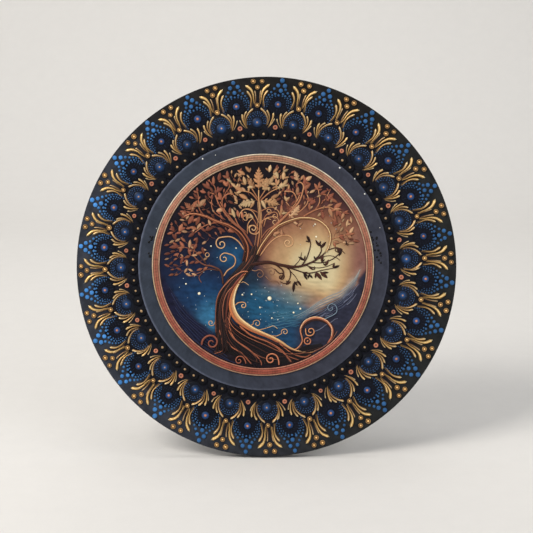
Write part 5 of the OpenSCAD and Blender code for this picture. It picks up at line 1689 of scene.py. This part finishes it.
@dataclass
class RimBeads:
    """Bronze, copper and black beads, their gold pips, and the specks on the slate band."""

    row: RimRow
    beads: int = 78
    bead_row: float = 103.0
    speck_centre: tuple[float, float] = (-2.9, 1.3)
    speck_base: float = 0.4

    def build(self, shop: Workshop) -> None:
        """Makes each row of beads."""
        places = [(-3.4, 146.2), (3.4, 146.2), (0, 141.2), (0, 126.3)]
        layer = DotSet().add(places, [2.05, 2.05, 2.0, 2.0], (140, 106, 62)).laid(
            self.row, 0.5, DropShape.DISH, 0.55, 121, sides=14)
        shop.add(layer, "rim_bead_drops", GOLD_PAINT, "bronze_bead", "rim_beads")
        layer = DotSet().add([(0, 109.0)], [1.9], (176, 112, 86)).laid(self.row, 0, DropShape.RING, 0.55, 122, sides=16)
        shop.add(layer, "copper_bead_drops", RAISED_PAINT, "copper_drop", "copper_beads")
        turn = np.radians(np.arange(self.beads) * 360 / self.beads)
        middle = np.array(self.row.drift)
        xy = middle + self.bead_row * np.stack([-np.sin(turn), np.cos(turn)], -1)
        rng = np.random.default_rng(131)
        xy = xy + rng.normal(0, 0.12, xy.shape)
        layer = drops(DropShape.BUTTON, xy, 4.0, 1.3, linear((15, 16, 21)), sides=22)
        shop.add(layer, "black_bead_drops", CLAY_BLACK, "black_bead", "black_beads")
        layer = drops(DropShape.BEAD, xy, rng.uniform(0.95, 1.2, len(xy)), 0.6, linear((158, 128, 92)), 1.25, 12)
        shop.add(layer, "gold_pip_drops", GOLD_PAINT, "pale_gold", "gold_pips")
        self.build_specks(shop)

    def build_specks(self, shop: Workshop) -> None:
        """White specks on the band, and clusters of small black dots at its left and right."""
        white = np.array([(-50.4, 85, 0.7), (57.8, 77.9, 0.8), (69.6, 69.2, 0.6), (77.5, 57.3, 0.7), (-40.3, 87.9, 0.4),
                          (-86.8, 30.2, 0.4), (89.5, 30.6, 0.35)])
        layer = drops(DropShape.BEAD, white[:, :2], white[:, 2], 0.35, linear((236, 234, 226)), self.speck_base, 8)
        shop.add(layer, "white_speck_drops", RAISED_PAINT, "white_speck", "band_specks")
        rng = np.random.default_rng(141)
        turn = np.radians(np.concatenate([rng.uniform(1, 17, 16), rng.uniform(164, 176, 9)]))
        reach = rng.uniform(88.5, 93.5, len(turn))
        xy = np.array(self.speck_centre) + unit_circle(turn) * reach[:, None]
        radius = rng.uniform(0.7, 1.15, len(turn))
        layer = drops(DropShape.BEAD, xy, radius, 0.4, linear((7, 7, 11)), self.speck_base, 8)
        shop.add(layer, "band_black_dots", RAISED_PAINT, "black_bead")


# ---------------------------------------------------------------- back and studio


@dataclass
class EaselBack:
    """The easel board, its brass hinge and strut, the foot pad and the hanging ring."""

    finishes: dict[str, Finish] = field(default_factory=lambda: {
        "easel_board": BOARD, "strut": STRUT_BOARD, "hinge_fixed_leaf": BRASS, "hinge_moving_leaf": BRASS,
        "hanger_strap": BRASS, "hinge_pin": RIVET, "hinge_rivets": RIVET, "strut_rivets": RIVET,
        "hanger_rivet": RIVET, "hanger_ring": RIVET, "foot_pad": RUBBER,
    })

    def build(self, shop: Workshop) -> None:
        """Gives each part its finish."""
        for node, finish in self.finishes.items():
            shop.dress(node, finish)


@dataclass
class Studio:
    """The camera, the pale floor that sweeps up behind, and the soft lights."""

    lens: float = 85.0
    distance: float = 0.9938
    reach: float = 3.0
    flat: float = 1.0
    sweep: float = 0.6
    top: float = 2.6

    def build(self, face: FaceFrame) -> None:
        """Sets the camera square to the disc, the floor and the lights."""
        scene = bpy.context.scene
        scene.view_settings.view_transform = "Standard"
        camera = bpy.data.objects.new("camera", bpy.data.cameras.new("camera"))
        scene.collection.objects.link(camera)
        camera.data.lens = self.lens
        camera.data.clip_start = 0.01
        camera.location = face.place(np.array([0, 0, self.distance / MM]))
        camera.rotation_euler = (math.pi / 2 - face.lean, 0, 0)
        scene.camera = camera
        self.floor()
        self.light("key_light", (-1.1, -0.9, 1.5), 0.8, 30, (1.0, 0.97, 0.93))
        self.light("fill_light", (1.3, -1.1, 0.8), 1.2, 10, (0.93, 0.96, 1.0))
        self.light("backdrop_light", (0.0, 0.5, 2.2), 1.4, 24, (1.0, 1.0, 1.0), (0, 1.6, 0.4))
        world = bpy.data.worlds.new("studio_world")
        world.use_nodes = True
        world.node_tree.nodes["Background"].inputs["Color"].default_value = (0.9, 0.93, 1.0, 1)
        world.node_tree.nodes["Background"].inputs["Strength"].default_value = 0.28
        scene.world = world

    def floor(self) -> None:
        """The floor: flat to a metre behind the plaque, then a quarter circle up into a backdrop."""
        bend = np.linspace(0, math.pi / 2, 12)
        y = np.concatenate([[-self.reach], self.flat + self.sweep * np.sin(bend), [self.flat + self.sweep]])
        z = np.concatenate([[0.0], self.sweep * (1 - np.cos(bend)), [self.top]])
        x = np.array([-self.reach, self.reach])
        points = np.stack([np.tile(x, len(y)), np.repeat(y, 2), np.repeat(z, 2)], -1)
        floor = mesh_object("studio_floor", points, [grid_faces(len(y), 2)[:, ::-1]])
        paper = Finish("pale_paper", Kind.SLIP, colour=(214, 211, 206), rough=0.9, gloss=0.2, grain=400.0, mottle=0.02,
                       bump=0.02)
        floor.data.materials.append(paper.material(NodeGroups()))

    @staticmethod
    def light(name: str, place: tuple[float, float, float], size: float, watts: float, tone: tuple,
              aim: tuple[float, float, float] = (0, 0, 0.15)) -> None:
        """Adds a square soft light that faces aim, the plaque's middle unless told otherwise."""
        lamp = bpy.data.lights.new(name, "AREA")
        lamp.energy, lamp.size, lamp.color = watts, size, tone
        made = bpy.data.objects.new(name, lamp)
        made.location = place
        made.rotation_euler = (Vector(aim) - Vector(place)).to_track_quat("-Z", "Y").to_euler()
        bpy.context.scene.collection.objects.link(made)


def face_frame() -> FaceFrame:
    """Works out the face frame from the disc's lean and the box of the picture panel, whose middle is known."""
    low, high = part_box("medallion_panel")
    middle = (np.array(low) + np.array(high)) / 2
    offset = FaceFrame((0.0, 0.0, 0.0), LEAN).place(np.array([MEDALLION[0], MEDALLION[1], MEDALLION[2] / 2]))
    return FaceFrame(tuple(middle - offset), LEAN)


def main() -> None:
    """Builds the studio and the plaque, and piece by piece."""
    logging.basicConfig(level=logging.INFO, format="%(message)s")
    face = face_frame()
    shop = Workshop(face)
    Studio().build(face)
    row = RimRow()
    for part in (ClayDisc(), CopperRing(), NightPicture(), TreeOfLife(), RimFlowers(row), GoldStrokes(row),
                 RimBeads(row), EaselBack()):
        part.build(shop)
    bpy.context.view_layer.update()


if __name__ == "__main__":
    main()
